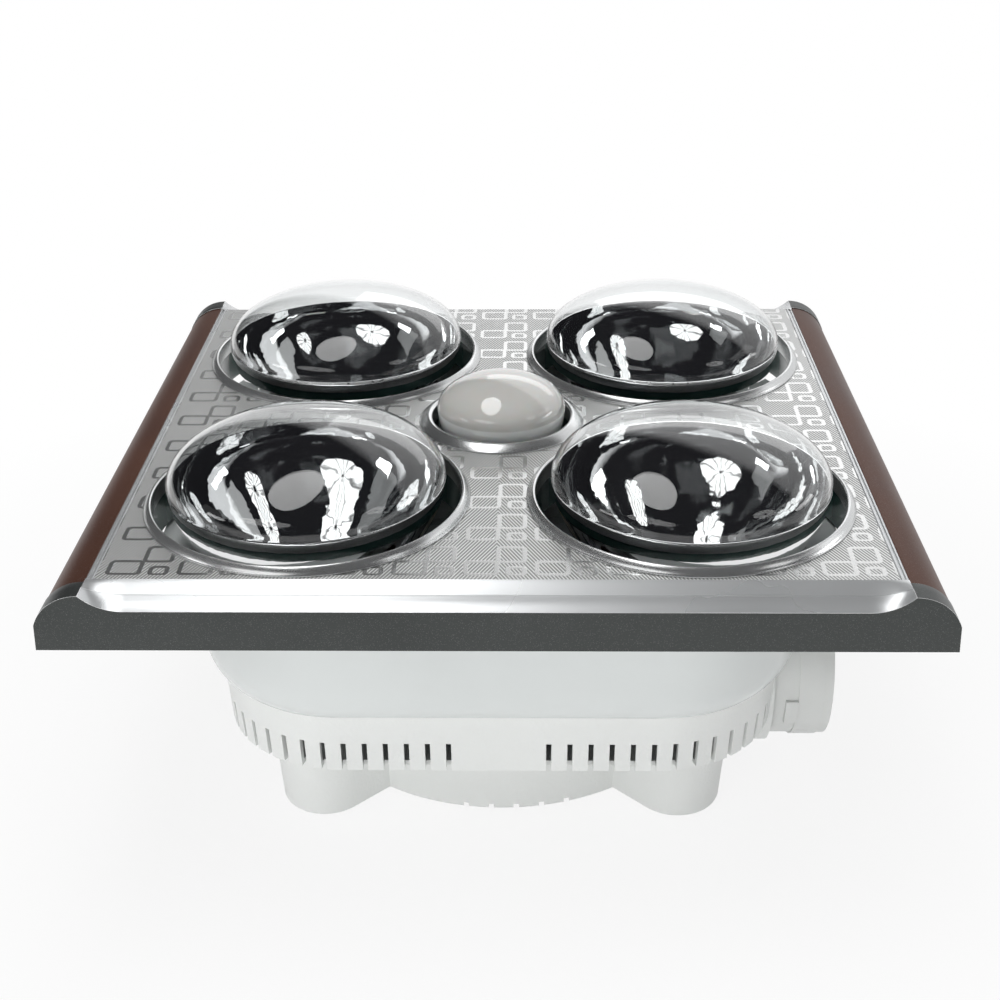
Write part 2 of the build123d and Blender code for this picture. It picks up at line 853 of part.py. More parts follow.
def housing_base():
    band, *lower = base_forms(0)
    outer = band + lower
    foot_edges = outer.faces().sort_by(Axis.Z)[0].edges()
    outer = fillet(foot_edges, pocket_edge)
    low = -tub_depth - base_ledge - overrun
    opening = rounded_block(
        base_opening_half, base_opening_half, base_opening_corner, low, base_top + overrun
    )
    body = outer - opening - tub_solid(0)
    for hollow in base_forms(base_wall):
        body -= hollow
    holes = [
        upright(screw_radius + screw_gap, low, base_top, x, y)
        for x, y in housing_screw_places()
    ]
    holes += lamp_passes(-tub_depth - base_ledge, -tub_depth)
    return body - slot_cutters() - grille_cutters() - holes


def reflector_tray():
    sheet = rounded_block(tray_half, tray_half, tray_corner, tray_foot, tray_top)
    holes = lamp_passes(tray_foot, tray_top)
    holes.append(upright(tray_centre_hole, tray_foot - overrun, tray_top + overrun))
    holes += [
        upright(screw_radius + screw_gap, tray_foot - overrun, tray_top + overrun, x, y)
        for x, y in tray_screw_places() + bridge_screw_places()
    ]
    holes.append(duct_bore(duct_radius + boss_gap + boss_wall, disc_back - boss_wall, duct_mouth))
    return sheet - holes


def centre_bridge():
    """The strap that carries the opal lamp's holder over the fan inlet."""
    low = bridge_foot
    strap = block(
        (-bridge_length / 2, -bridge_width / 2, low),
        (bridge_length / 2, bridge_width / 2, low + bridge_thickness),
    )
    holes = [
        upright(screw_radius + screw_gap, low - overrun, low + bridge_thickness + overrun, x, y)
        for x, y in bridge_screw_places()
    ]
    return strap - holes


def housing_screws():
    """Screws that join the lower housing to the upper one from below."""
    upward = Rot(180, 0, 0) * screw(0, housing_screw_length)
    foot = -tub_depth - base_ledge - screw_head
    return [Pos(x, y, foot) * upward for x, y in housing_screw_places()]


def sheet_screws():
    """Screws that hold the reflector tray and the bridge, head up."""
    on_tray = screw(tray_top + screw_head, sheet_screw_length)
    on_bridge = screw(bridge_foot + bridge_thickness + screw_head, sheet_screw_length)
    tray_screws = [Pos(x, y, 0) * on_tray for x, y in tray_screw_places()]
    return tray_screws + [Pos(x, y, 0) * on_bridge for x, y in bridge_screw_places()]


# Duct outlet
def spigot_rib():
    """The snap rib on the lower front of the outlet."""
    rib_end = rib_start + rib_length
    ring_solid = duct_bore(duct_radius + rib_height, rib_start, rib_end)
    ring_solid -= duct_bore(duct_radius - duct_wall / 2, rib_start - overrun, rib_end + overrun)
    reach = duct_radius * 2
    points = [(duct_y, duct_z)]
    for angle in (rib_low_angle, rib_high_angle):
        turn = math.radians(angle)
        points.append((duct_y + reach * math.cos(turn), duct_z + reach * math.sin(turn)))
    plane = Plane(origin=(rib_start, 0, 0), x_dir=(0, 1, 0), z_dir=(1, 0, 0))
    wedge = extrude(make_face(plane * Polyline(*points, close=True)), amount=rib_length)
    return ring_solid & wedge


def pin_z_places():
    """The ends of the flaps' pin, in the outlet's wall."""
    reach = duct_radius - duct_wall / 2
    return duct_z - reach, duct_z + reach


def flap_x():
    """Where the flaps and their pin lie along the outlet."""
    return disc_face + spigot_lip + 2 * moving_gap + seat_thickness + flap_thickness + knuckle_radius


def duct_spigot():
    inner = duct_radius - duct_wall
    root_end = rib_start + rib_length
    tube = duct_bore(duct_radius - duct_root_step, duct_start, root_end)
    tube += duct_bore(duct_radius, root_end, duct_mouth - duct_collar)
    tube += duct_bore(duct_radius - duct_collar_step, duct_mouth - duct_collar, duct_mouth)
    tube += spigot_rib()
    seat_end = flap_x() - flap_thickness / 2 - moving_gap
    seat_start = seat_end - seat_thickness
    tube -= duct_bore(inner, duct_start - overrun, seat_start)
    tube -= duct_bore(inner - seat_width, seat_start, seat_end)
    tube -= duct_bore(inner, seat_end, duct_mouth + overrun)
    low, high = pin_z_places()
    return tube - upright(flap_pin_radius, low, high, flap_x(), duct_y)


def flap_pin():
    low, high = pin_z_places()
    return upright(flap_pin_radius, low, high, flap_x(), duct_y)


def flap(side):
    """Half of the round shutter, with two knuckles round the pin."""
    x = flap_x()
    outer = duct_radius - duct_wall - flap_gap
    disc = duct_bore(outer, x - flap_thickness / 2, x + flap_thickness / 2)
    start = duct_y + side * flap_hinge_edge
    end = duct_y + side * (outer + overrun)
    keep_half = block(
        (x - flap_thickness, min(start, end), duct_z - outer),
        (x + flap_thickness, max(start, end), duct_z + outer),
    )
    plate = disc & keep_half
    step = knuckle_length + moving_gap
    for number in (-1.5, 0.5) if side > 0 else (-0.5, 1.5):
        middle = duct_z + number * step
        low = middle - knuckle_length / 2
        high = middle + knuckle_length / 2
        plate += upright(knuckle_radius, low, high, x, duct_y)
        near, far = sorted((duct_y + side * knuckle_radius / 2, start + side * overrun))
        plate += block((x - flap_thickness / 2, near, low), (x + flap_thickness / 2, far, high))
    low, high = pin_z_places()
    return plate - upright(flap_pin_radius + flap_pin_gap, low, high, x, duct_y)


# Fan
def scroll_outline(inset):
    """Plan of the scroll: a growing spiral that ends in a straight outlet."""
    high_y = outlet_high_y - inset
    low_y = outlet_low_y + inset
    start_radius = scroll_start_radius - inset
    start_angle = math.asin((high_y - fan_y) / start_radius)
    end_angle = 1.5 * math.pi
    growth = scroll_end_radius - scroll_start_radius
    steps = 12
    points = []
    for number in range(steps + 1):
        share = number / steps
        angle = start_angle + (end_angle - start_angle) * share
        radius = start_radius + growth * share
        points.append((fan_x + radius * math.cos(angle), fan_y + radius * math.sin(angle)))
    end_x = scroll_end_x - inset
    spiral = Spline(*points)
    outlet = Polyline(points[-1], (end_x, low_y), (end_x, high_y), points[0])
    return make_face(spiral + outlet)


def scroll_prism(inset, low, high):
    return extrude(Pos(0, 0, low) * scroll_outline(inset), amount=high - low)


def fan_scroll():
    top = scroll_top - scroll_wall
    body = scroll_prism(0, inner_foot, top)
    body -= scroll_prism(scroll_wall, inner_foot + scroll_wall, top + overrun)
    neck = block(
        (scroll_end_x - scroll_wall, outlet_low_y, outlet_foot),
        (disc_back, outlet_high_y, scroll_top),
    )
    disc = duct_bore(duct_radius - duct_root_step, disc_back, disc_face)
    lip_outer = duct_radius - duct_wall - duct_hole_gap
    lip = duct_bore(lip_outer, disc_face, disc_face + spigot_lip)
    lip -= duct_bore(lip_outer - scroll_wall, disc_face, disc_face + spigot_lip + overrun)
    passage = block(
        (scroll_end_x - 2 * scroll_wall, outlet_low_y + scroll_wall, outlet_foot + scroll_wall),
        (disc_face + overrun, outlet_high_y - scroll_wall, scroll_top - scroll_wall),
    )
    return body + neck + disc + lip - passage


def scroll_cover():
    """The flat lid of the scroll, with the round inlet and its lip."""
    low = scroll_top - scroll_wall
    lid = scroll_prism(0, low, scroll_top)
    lid -= block((scroll_end_x - scroll_wall, outlet_low_y - overrun, low - overrun),
                 (scroll_end_x + overrun, outlet_high_y + overrun, scroll_top + overrun))
    lid += upright(inlet_radius + scroll_wall, low, scroll_top + inlet_lip, fan_x, fan_y)
    return lid - upright(inlet_radius, low - overrun, scroll_top + inlet_lip + overrun, fan_x, fan_y)


def fan_motor():
    foot = inner_foot + scroll_wall
    return turned([
        (0, foot),
        (motor_flange_radius, foot),
        (motor_flange_radius, foot + motor_flange),
        (motor_radius, foot + motor_flange),
        (motor_radius, motor_top - motor_flange),
        (motor_radius - motor_flange, motor_top),
        (motor_collar_radius, motor_top),
        (motor_collar_radius, motor_top + motor_collar),
        (shaft_radius + moving_gap, motor_top + motor_collar),
        (shaft_radius + moving_gap, motor_top - motor_radius),
        (0, motor_top - motor_radius),
    ], fan_x, fan_y)


def motor_shaft():
    return upright(shaft_radius, motor_top - motor_radius + moving_gap, shaft_top, fan_x, fan_y)


def impeller():
    plate_top = impeller_foot + impeller_plate
    hub = turned([
        (shaft_radius, hub_top),
        (shaft_radius, hub_top - hub_wall - hub_boss_drop),
        (hub_boss_radius, hub_top - hub_wall - hub_boss_drop),
        (hub_boss_radius, hub_top - hub_wall),
        (hub_radius - hub_wall, hub_top - hub_wall),
        (hub_radius, impeller_foot),
        (impeller_radius, impeller_foot),
        (impeller_radius, plate_top),
        (hub_radius + hub_wall, plate_top),
        (hub_radius, hub_top),
    ])
    rim = upright(impeller_radius, impeller_top - impeller_plate, impeller_top)
    eye = impeller_radius - impeller_depth
    rim -= upright(eye, impeller_top - 2 * impeller_plate, impeller_top + overrun)
    low = plate_top - impeller_plate / 2
    high = impeller_top - impeller_plate / 2
    middle = impeller_radius - impeller_depth / 2
    blade = Rot(0, 0, blade_angle) * Box(impeller_depth * blade_share, blade_thickness, high - low)
    blades = [
        Rot(0, 0, number * 360 / blade_count) * Pos(middle, 0, (low + high) / 2) * blade
        for number in range(blade_count)
    ]
    return Pos(fan_x, fan_y, 0) * (hub + rim + blades)


def impeller_nut():
    hexagon = Pos(0, 0, hub_top) * RegularPolygon(nut_width / 2, 6, major_radius=False)
    nut = extrude(hexagon, amount=nut_height) - upright(shaft_radius, hub_top, hub_top + nut_height + overrun)
    return Pos(fan_x, fan_y, 0) * nut


# Electrics
def box_back():
    """Where the terminal box stands against the tub's leaning left wall."""
    return -(tub_half - tub_wall + (box_top - box_height) * tub_lean) + sheet_gap


def gland_outside():
    """Where the gland's hexagon bears on the outside of that wall."""
    return -(tub_half + (gland_z + gland_nut_width / 2) * tub_lean)


def terminal_box():
    back = box_back()
    low = (back, -box_length / 2, box_top - box_height)
    high = (back + box_depth, box_length / 2, box_top)
    outer = block(low, high)
    inner = block(
        (low[0] + box_wall, low[1] + box_wall, low[2] + box_wall),
        (high[0] - box_wall, high[1] - box_wall, high[2] + overrun),
    )
    return outer - inner - along_x(gland_radius, back - overrun, back + box_wall + overrun, 0, gland_z)


def terminal_cover():
    back = box_back()
    lid = block(
        (back, -box_length / 2, box_top),
        (back + box_depth, box_length / 2, box_top + box_wall),
    )
    plug = block(
        (back + box_wall + sheet_gap, -box_length / 2 + box_wall + sheet_gap, box_top - box_wall),
        (back + box_depth - box_wall - sheet_gap, box_length / 2 - box_wall - sheet_gap, box_top),
    )
    return lid + plug


def terminal_block():
    back = box_back() + box_depth - box_wall - block_depth
    low = box_top - box_height + box_wall
    body = block((back, -block_length / 2, low), (back + block_depth, block_length / 2, low + block_height))
    way_z = low + block_height / 3
    ways = []
    for number in range(block_ways):
        y = (number - (block_ways - 1) / 2) * block_length / block_ways
        ways.append(along_x(block_way_radius, back - overrun, back + block_depth + overrun, y, way_z))
        ways.append(upright(block_way_radius, way_z, low + block_height + overrun, back + block_depth / 2, y))
    return body - ways


def cable_gland():
    """A hollow gland through the tub and the box wall, with its hexagon outside."""
    outside = gland_outside()
    inside = box_back() + box_wall + gland_nut_thickness
    stem = along_x(gland_radius, outside - gland_nut_thickness, inside, 0, gland_z)
    dome = along_x(gland_radius - box_wall / 2, outside - gland_length, outside, 0, gland_z)
    return stem + gland_hexagon(outside - gland_nut_thickness) + dome - along_x(
        gland_bore_radius, outside - 2 * gland_length, outside + 2 * gland_length, 0, gland_z)


def gland_hexagon(start):
    plane = Plane(origin=(start, 0, gland_z), x_dir=(0, 1, 0), z_dir=(1, 0, 0))
    outline = plane * RegularPolygon(gland_nut_width / 2, 6, major_radius=False)
    return extrude(outline, amount=gland_nut_thickness)


def gland_nut():
    """The lock nut inside the terminal box."""
    start = box_back() + box_wall
    end = start + gland_nut_thickness
    return gland_hexagon(start) - along_x(gland_radius, start - overrun, end + overrun, 0, gland_z)


def fan_capacitor():
    body = block(
        (-capacitor_length / 2, capacitor_y - capacitor_width / 2, tray_top),
        (capacitor_length / 2, capacitor_y + capacitor_width / 2, tray_top + capacitor_height),
    )
    return fillet(body.edges().filter_by(Axis.Z), capacitor_edge)


def thermal_cutout():
    body = upright(cutout_radius, tray_top, tray_top + cutout_height, 0, cutout_y)
    ears = block(
        (-cutout_ear, cutout_y - cutout_radius / 2, tray_top),
        (cutout_ear, cutout_y + cutout_radius / 2, tray_top + tray_thickness),
    )
    return body + ears


# Build every piece
keep("face_plate", face_plate())
keep("panel_frame", panel_frame())
keep("lamp_wells", group(lamp_wells()))
front = front_moulding()
keep("front_moulding", front)
keep("rear_moulding", mirror(front, about=Plane.XZ))
for side_name, solids in (("rail", both_sides(rail())), ("bead", both_sides(bead()))):
    keep("right_" + side_name, solids[0])
    keep("left_" + side_name, solids[1])
for place_name, (lamp_x, lamp_y) in lamp_places.items():
    keep("lamp_ring_" + place_name, ring(ring_inner_radius, ring_outer_radius, ring_top, lamp_x, lamp_y))
    lamp_pieces(place_name, lamp_x, lamp_y)
    keep("lamp_holder_" + place_name, Pos(lamp_x, lamp_y, 0) * holder(lamp_cap_top, inner_foot))
keep("centre_ring", ring(centre_ring_inner_radius, centre_ring_outer_radius, centre_ring_top))
keep("panel_clips", group(four_clips(clip())))
keep("clip_screws", group(four_clips(clip_screw())))
opal_pieces()
keep("opal_holder", holder(opal_cap_top, bridge_foot + bridge_thickness))
shells = [brass_shell(lamp_cap_top, x, y) for x, y in lamp_places.values()]
shells.append(brass_shell(opal_cap_top, 0, 0))
contacts = [brass_contact(lamp_cap_top, x, y) for x, y in lamp_places.values()]
contacts.append(brass_contact(opal_cap_top, 0, 0))
keep("holder_brass", group(shells + contacts))
keep("housing_tub", housing_tub())
keep("housing_base", housing_base())
keep("reflector_tray", reflector_tray())
keep("centre_bridge", centre_bridge())
keep("housing_screws", group(housing_screws()))
keep("sheet_screws", group(sheet_screws()))
keep("duct_spigot", duct_spigot())
keep("flap_pin", flap_pin())
keep("flap_front", flap(-1))
keep("flap_rear", flap(1))
keep("fan_scroll", fan_scroll())
keep("scroll_cover", scroll_cover())
keep("fan_motor", fan_motor())
keep("motor_shaft", motor_shaft())
keep("impeller", impeller())
keep("impeller_nut", impeller_nut())
keep("terminal_box", terminal_box())
keep("terminal_cover", terminal_cover())
keep("terminal_block", terminal_block())
keep("cable_gland", cable_gland())
keep("gland_nut", gland_nut())
keep("fan_capacitor", fan_capacitor())
keep("thermal_cutout", thermal_cutout())

os.makedirs("parts", exist_ok=True)
for part_name, solid in parts.items():
    export_step(solid, os.path.join("parts", part_name + ".step"))
    print(part_name, len(solid.solids()), round(solid.volume))
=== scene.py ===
# %% [markdown]
# A ceiling heat lamp unit, lying face up.
# The solid model gives every piece its size and place, and this lesson only dresses it.
# Loading it first means that each finish and each finer mesh starts from true sizes.

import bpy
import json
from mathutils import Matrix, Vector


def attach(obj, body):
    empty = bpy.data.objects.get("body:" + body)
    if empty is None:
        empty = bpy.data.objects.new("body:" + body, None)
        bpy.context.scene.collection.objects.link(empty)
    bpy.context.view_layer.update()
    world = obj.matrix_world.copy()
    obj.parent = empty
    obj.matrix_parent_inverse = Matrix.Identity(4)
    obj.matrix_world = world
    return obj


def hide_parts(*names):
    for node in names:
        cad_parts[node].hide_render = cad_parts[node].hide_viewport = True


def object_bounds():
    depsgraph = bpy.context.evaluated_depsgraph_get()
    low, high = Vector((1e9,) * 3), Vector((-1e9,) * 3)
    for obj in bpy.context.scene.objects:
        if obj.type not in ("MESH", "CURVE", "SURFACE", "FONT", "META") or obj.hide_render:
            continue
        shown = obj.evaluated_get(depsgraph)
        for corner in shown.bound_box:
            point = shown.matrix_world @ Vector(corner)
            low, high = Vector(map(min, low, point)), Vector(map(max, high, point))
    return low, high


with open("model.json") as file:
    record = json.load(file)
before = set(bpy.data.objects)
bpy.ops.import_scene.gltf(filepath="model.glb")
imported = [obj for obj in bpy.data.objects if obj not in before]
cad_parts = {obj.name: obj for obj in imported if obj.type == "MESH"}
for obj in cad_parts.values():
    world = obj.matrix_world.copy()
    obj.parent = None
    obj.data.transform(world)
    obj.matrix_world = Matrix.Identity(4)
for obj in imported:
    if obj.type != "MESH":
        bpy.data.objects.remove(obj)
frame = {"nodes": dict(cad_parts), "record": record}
cad_box = [list(corner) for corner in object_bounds()]

import json
import math

import bmesh
import bpy
from mathutils import Matrix, Vector

record = frame["record"]
body_of = {node: body for body, nodes in record["behaviour"]["bodies"].items() for node in nodes}

# %% [markdown]
# The photograph was taken from the front, a little right of the middle, looking down about 27 degrees.
# A camera can be set by eye, but straight edges give it away, so this one was worked out from the
# corners of the panel and the rims of the lamps: a place, three directions and a lens.

# %% Place the camera
MM = 0.001


def add_piece(name, data):
    """A new object in the scene."""
    piece = bpy.data.objects.new(name, data)
    bpy.context.scene.collection.objects.link(piece)
    return piece


camera_data = bpy.data.cameras.new("camera")
camera_data.sensor_width = 36.0
camera_data.lens = 56.52
camera_data.clip_start = 0.01
camera_data.clip_end = 60.0
camera = add_piece("camera", camera_data)
right = Vector((0.99985, 0.01573, -0.00716))
up = Vector((-0.00074, 0.45296, 0.89153))
back = right.cross(up).normalized()
up = back.cross(right).normalized()
eye = Vector((12.861, -717.309, 345.069)) * MM
camera.matrix_world = Matrix.Translation(eye) @ Matrix((right, up, back)).transposed().to_4x4()
bpy.context.scene.camera = camera
bpy.context.scene.view_settings.view_transform = "Standard"
print("camera height", round(eye.z, 3))

# %% [markdown]
# Paint charts give colours as hex codes, while a renderer counts light.
# One function turns the first into the second, so a code below is the colour that is meant.
# Another adds a node with its settings and links, and every finish and every tree is built with it.
# Given a whole node as an input, it links that node's first output. A kind of node is named without
# its family: Math stands for ShaderNodeMath, and MeshGrid for GeometryNodeMeshGrid.

# %% Colours and nodes
def srgb(code):
    """Light values of a hex colour."""
    steps = [int(code[place:place + 2], 16) / 255 for place in (1, 3, 5)]
    light = [step / 12.92 if step <= 0.04045 else ((step + 0.055) / 1.055) ** 2.4 for step in steps]
    return (*light, 1.0)


FAMILIES = ("ShaderNode", "GeometryNode", "FunctionNode", "Node")


def adder(tree):
    """The function that adds nodes to one tree."""
    def add(kind, inputs=None, operation=None, **settings):
        """Adds one node, sets it up, and fills its inputs with values, links or whole nodes."""
        family = next(family for family in FAMILIES if hasattr(bpy.types, family + kind))
        node = tree.nodes.new(family + kind)
        if operation:
            node.operation = operation
        for name, value in settings.items():
            setattr(node, name, value)
        for socket, value in (inputs or {}).items():
            if isinstance(value, bpy.types.Node):
                value = value.outputs[0]
            if isinstance(value, bpy.types.NodeSocket):
                tree.links.new(value, node.inputs[socket])
            else:
                node.inputs[socket].default_value = value
        return node

    return add


print("mid grey", [round(value, 3) for value in srgb("#808080")])

# %% [markdown]
# Nearly every finish here has the same three layers: a colour that drifts a little over the piece,
# a gloss that is never quite even, and a fine grain that only shows where light grazes it.
# One recipe makes them from sizes in millimetres, and each finish gets its own numbers.

# %% The common recipe of a finish
def finish(name, light, dark, patch, rough, grain, depth, stretch=(1, 1, 1), **sockets):
    """A finish whose colour drifts between two, with uneven gloss and a fine grain; sizes in mm."""
    material = bpy.data.materials.new(name)
    material.use_nodes = True
    tree = material.node_tree
    shader = tree.nodes["Principled BSDF"]
    add = adder(tree)
    for socket, value in sockets.items():
        shader.inputs[socket.replace("_", " ")].default_value = value
    place = add("TexCoord")
    run = add("Mapping", {"Vector": place.outputs["Object"], "Scale": stretch}, name="place")
    drift = add("TexNoise", {"Vector": run, "Scale": 1000 / patch, "Detail": 4.0})
    spread = add("MapRange", {"Value": drift.outputs["Fac"], "From Min": 0.3, "From Max": 0.7})
    tint = add("Mix", {0: spread, 6: srgb(dark), 7: srgb(light)}, data_type="RGBA", name="tint")
    gloss = add("MapRange", {"Value": drift.outputs["Fac"], "From Min": 0.3, "From Max": 0.7,
        "To Min": rough[0], "To Max": rough[1]}, name="gloss")
    fine = add("TexNoise", {"Vector": run, "Scale": 1000 / grain, "Detail": 2.0})
    bump = add("Bump", {"Height": fine.outputs["Fac"], "Strength": 1.0, "Distance": depth * MM},
        name="bump")
    tree.links.new(tint.outputs[2], shader.inputs["Base Color"])
    tree.links.new(gloss.outputs[0], shader.inputs["Roughness"])
    tree.links.new(bump.outputs[0], shader.inputs["Normal"])
    return material


print("recipe ready")

# %% [markdown]
# The mouldings are sprayed satin silver all over. Their upright faces get a darker grey copy of it
# with fine metal flake, a painted shade for the dark they mirror. Flake is thousands of tiny mirrors, each
# at its own tilt.
# Small Voronoi cells give each speck one random value, and the few above a limit get a lighter colour.

# %% Sprayed metal finishes
def add_flake(material, size, share, lift):
    """Adds specks of brighter metal to a finish: size in mm, and the share of specks that show."""
    tree = material.node_tree
    shader = tree.nodes["Principled BSDF"]
    add = adder(tree)
    cells = add("TexVoronoi", {"Vector": tree.nodes["place"], "Scale": 1000 / size})
    pick = add("SeparateColor", {0: cells.outputs["Color"]})
    shown = add("Math", {0: pick, 1: 1 - share}, "GREATER_THAN")
    amount = add("Math", {0: shown, 1: lift}, "MULTIPLY")
    speck = add("Mix", {0: amount, 6: tree.nodes["tint"].outputs[2], 7: srgb("#ffffff")}, data_type="RGBA")
    tree.links.new(speck.outputs[2], shader.inputs["Base Color"])


# The darker grey is the satin silver painted darker: painted shade on the upright faces and end caps.
silver_painted_shade = finish("satin silver darkened as painted shade, with metal flake", "#454847", "#3c3f3e", 110, (0.36, 0.44), 0.25,
    0.006, Metallic=0.45)
add_flake(silver_painted_shade, 0.22, 0.05, 0.07)
satin_silver = finish("satin silver plating", "#d6d8d9", "#cccecf", 120, (0.24, 0.31), 0.3, 0.003,
    Metallic=0.6)
rail_brown = finish("brown metallic lacquer", "#5e4034", "#4f352c", 80, (0.34, 0.42), 0.3, 0.004,
    Metallic=0.25, Specular_IOR_Level=0.08)
add_flake(rail_brown, 0.2, 0.06, 0.06)
bright_plating = finish("bright plated ring metal", "#dcdddd", "#cfd1d1", 50, (0.20, 0.26), 0.25, 0.003,
    Metallic=0.85)
# Near white, so the bevels show as thin white edge lines: a painted highlight.
edge_painted_highlight = finish("edge painted near white as a highlight", "#fdfdfd", "#f4f5f5", 60, (0.14, 0.2), 0.3, 0.002, Metallic=0.15)
seam_shade = finish("silver in the shade of a seam", "#b4b6b7", "#a6a8a9", 60, (0.3, 0.4), 0.3, 0.003,
    Metallic=0.4)
print("sprayed finishes", silver_painted_shade.name, satin_silver.name)

# %% [markdown]
# The face plate is thin metal sheet rolled with a pattern: fine slanted lines everywhere, and
# smooth outlines of rounded rectangles, two big and one small in each cell, row on row.
# On the real sheet this is pressed relief. Drawn as height, it would need millions of faces,
# so it is worked out in the finish: the distance to a rounded rectangle, repeated over a lattice.
# A small bump gives the relief, and the slanted lines are also painted darker, as painted shade in their
# grooves.
# The real lines lie about 1 mm apart, too fine to show here, so they are drawn 1.4 mm apart.

# %% The face plate's pressed pattern
# The size of one cell, and the shift that brings the cells to their place on the plate, in mm.
LATTICE, START = (29.6, 30.0), (13.6, 156.9)
# Each outline's middle and half its size, in mm.
OUTLINES = [((7.4, 6.2), (6.5, 5.4)), ((19.9, 17.7), (5.6, 6.3)), ((21.9, 3.6), (3.4, 3.2))]
LINE, LINE_BLUR, CORNER = 2.0, 0.15, 1.8
HATCH, HATCH_LEAN, PRESSED_DEPTH = 1.4, -26, 0.05
# A wave texture of scale 1 repeats every 0.314 units.
WAVE_LENGTH = 0.314
SHEET_METAL, SHEET_BRIGHT, SMOOTH_GLOSS = 0.45, 0.85, 0.2

plate_sheet = finish("pressed and anodised face sheet", "#fafbfa", "#f4f5f4", 110, (0.34, 0.42), 0.4,
    0.003, Metallic=SHEET_METAL)
tree = plate_sheet.node_tree
shader = tree.nodes["Principled BSDF"]
add = adder(tree)
flat = add("VectorMath", {0: tree.nodes["place"], 1: (1000, 1000, 0)}, "MULTIPLY")
shifted = add("VectorMath", {0: flat, 1: (*START, 0)}, "ADD")
cell = add("VectorMath", {0: shifted, 1: (*LATTICE, 1), 2: (0, 0, 0)}, "WRAP")
outline = 0.0
for (middle_x, middle_y), (half_x, half_y) in OUTLINES:
    straight = (half_x - CORNER, half_y - CORNER, 0)
    away = cell
    for step, other in (("SUBTRACT", (middle_x, middle_y, 0)), ("ABSOLUTE", (0, 0, 0)),
                        ("SUBTRACT", straight), ("MAXIMUM", (0, 0, 0)), ("LENGTH", (0, 0, 0))):
        away = add("VectorMath", {0: away, 1: other}, step)
    off = add("Math", {0: away.outputs["Value"], 1: CORNER}, "SUBTRACT")
    off = add("Math", {0: off}, "ABSOLUTE")
    edge = add("MapRange", {"Value": off, "From Min": LINE / 2 + LINE_BLUR,
        "From Max": LINE / 2 - LINE_BLUR})
    outline = add("Math", {0: outline, 1: edge}, "MAXIMUM")
both_ways = add("VectorMath", {0: flat}, "ABSOLUTE")
across = add("SeparateXYZ", {0: both_ways})
along = add("SeparateXYZ", {0: flat})
folded = add("CombineXYZ", {0: across, 1: along.outputs[1]})
slant = add("VectorRotate", {"Vector": folded, "Angle": math.radians(HATCH_LEAN)}, rotation_type="Z_AXIS")
hatch = add("TexWave", {"Vector": slant, "Scale": WAVE_LENGTH / HATCH}, bands_direction="X")
bare = add("Math", {0: 1.0, 1: outline}, "SUBTRACT")
relief = add("Math", {0: hatch.outputs["Fac"], 1: bare}, "MULTIPLY")
height = add("Math", {0: relief, 1: outline}, "ADD")
pressed = add("Bump", {"Height": height, "Strength": 1.0, "Distance": PRESSED_DEPTH * MM,
    "Normal": tree.nodes["bump"]})
tree.links.new(pressed.outputs[0], shader.inputs["Normal"])
# The slanted lines are painted darker: painted shade of the pressed grooves.
hatch_painted_shade = add("Mix", {0: relief, 6: tree.nodes["tint"].outputs[2], 7: srgb("#7c7d7c")}, data_type="RGBA")
smooth = add("Mix", {0: outline, 6: hatch_painted_shade.outputs[2], 7: srgb("#cfd0cf")}, data_type="RGBA")
tree.links.new(smooth.outputs[2], shader.inputs["Base Color"])
polish = add("Mix", {0: outline, 2: tree.nodes["gloss"], 3: SMOOTH_GLOSS})
tree.links.new(polish.outputs[0], shader.inputs["Roughness"])
bright = add("Mix", {0: outline, 2: SHEET_METAL, 3: SHEET_BRIGHT})
tree.links.new(bright.outputs[0], shader.inputs["Metallic"])
print("pattern nodes", len(tree.nodes))

# %% [markdown]
# The housing is moulded in two kinds of plastic: a smooth, glossy upper tub, and a lower part from
# a tool with an etched, pebbly surface. Etching leaves shallow domes a millimetre or so apart,
# which Voronoi distance gives directly.

# %% Moulded plastics
def add_pebbles(material, size, depth):
    """Adds the shallow domes of an etched mould: their spacing and depth in mm."""
    tree = material.node_tree
    add = adder(tree)
    cells = add("TexVoronoi", {"Vector": tree.nodes["place"], "Scale": 1000 / size}, feature="SMOOTH_F1")
    bump = add("Bump", {"Height": cells.outputs["Distance"], "Strength": 1.0, "Distance": depth * MM,
        "Normal": tree.nodes["bump"]}, invert=True)
    tree.links.new(bump.outputs[0], tree.nodes["Principled BSDF"].inputs["Normal"])


tub_plastic = finish("glossy moulded housing plastic", "#e3e7e6", "#dce0df", 140, (0.12, 0.20), 3.0, 0.01,
    Specular_IOR_Level=0.5)
base_plastic = finish("etched moulded housing plastic", "#f1f3f1", "#eaecea", 120, (0.34, 0.44), 0.6, 0.02)
add_pebbles(base_plastic, 1.5, 0.14)
spigot_plastic = finish("moulded outlet plastic", "#e4e6e4", "#dadcda", 60, (0.32, 0.42), 0.5, 0.02)
add_pebbles(spigot_plastic, 1.0, 0.04)
frame_plastic = finish("dark green grey moulded plastic", "#2e3d39", "#263431", 50, (0.25, 0.35), 0.6, 0.01)
well_enamel = finish("dark green grey enamel", "#3d5c56", "#324e49", 70, (0.10, 0.18), 1.5, 0.006,
    Coat_Weight=0.4)
fan_plastic = finish("black moulded fan plastic", "#2b2b2d", "#222224", 40, (0.35, 0.5), 0.5, 0.01)
scroll_plastic = finish("grey moulded scroll plastic", "#a5a8a8", "#989b9b", 60, (0.35, 0.45), 0.6, 0.015)
box_plastic = finish("ivory moulded box plastic", "#dfdfd8", "#d4d4cc", 40, (0.3, 0.4), 0.6, 0.015)
nylon_black = finish("black nylon", "#1f1f20", "#171718", 20, (0.38, 0.5), 0.4, 0.01)
capacitor_case = finish("glossy black capacitor case", "#1b1b1d", "#131315", 20, (0.12, 0.2), 0.6, 0.005)
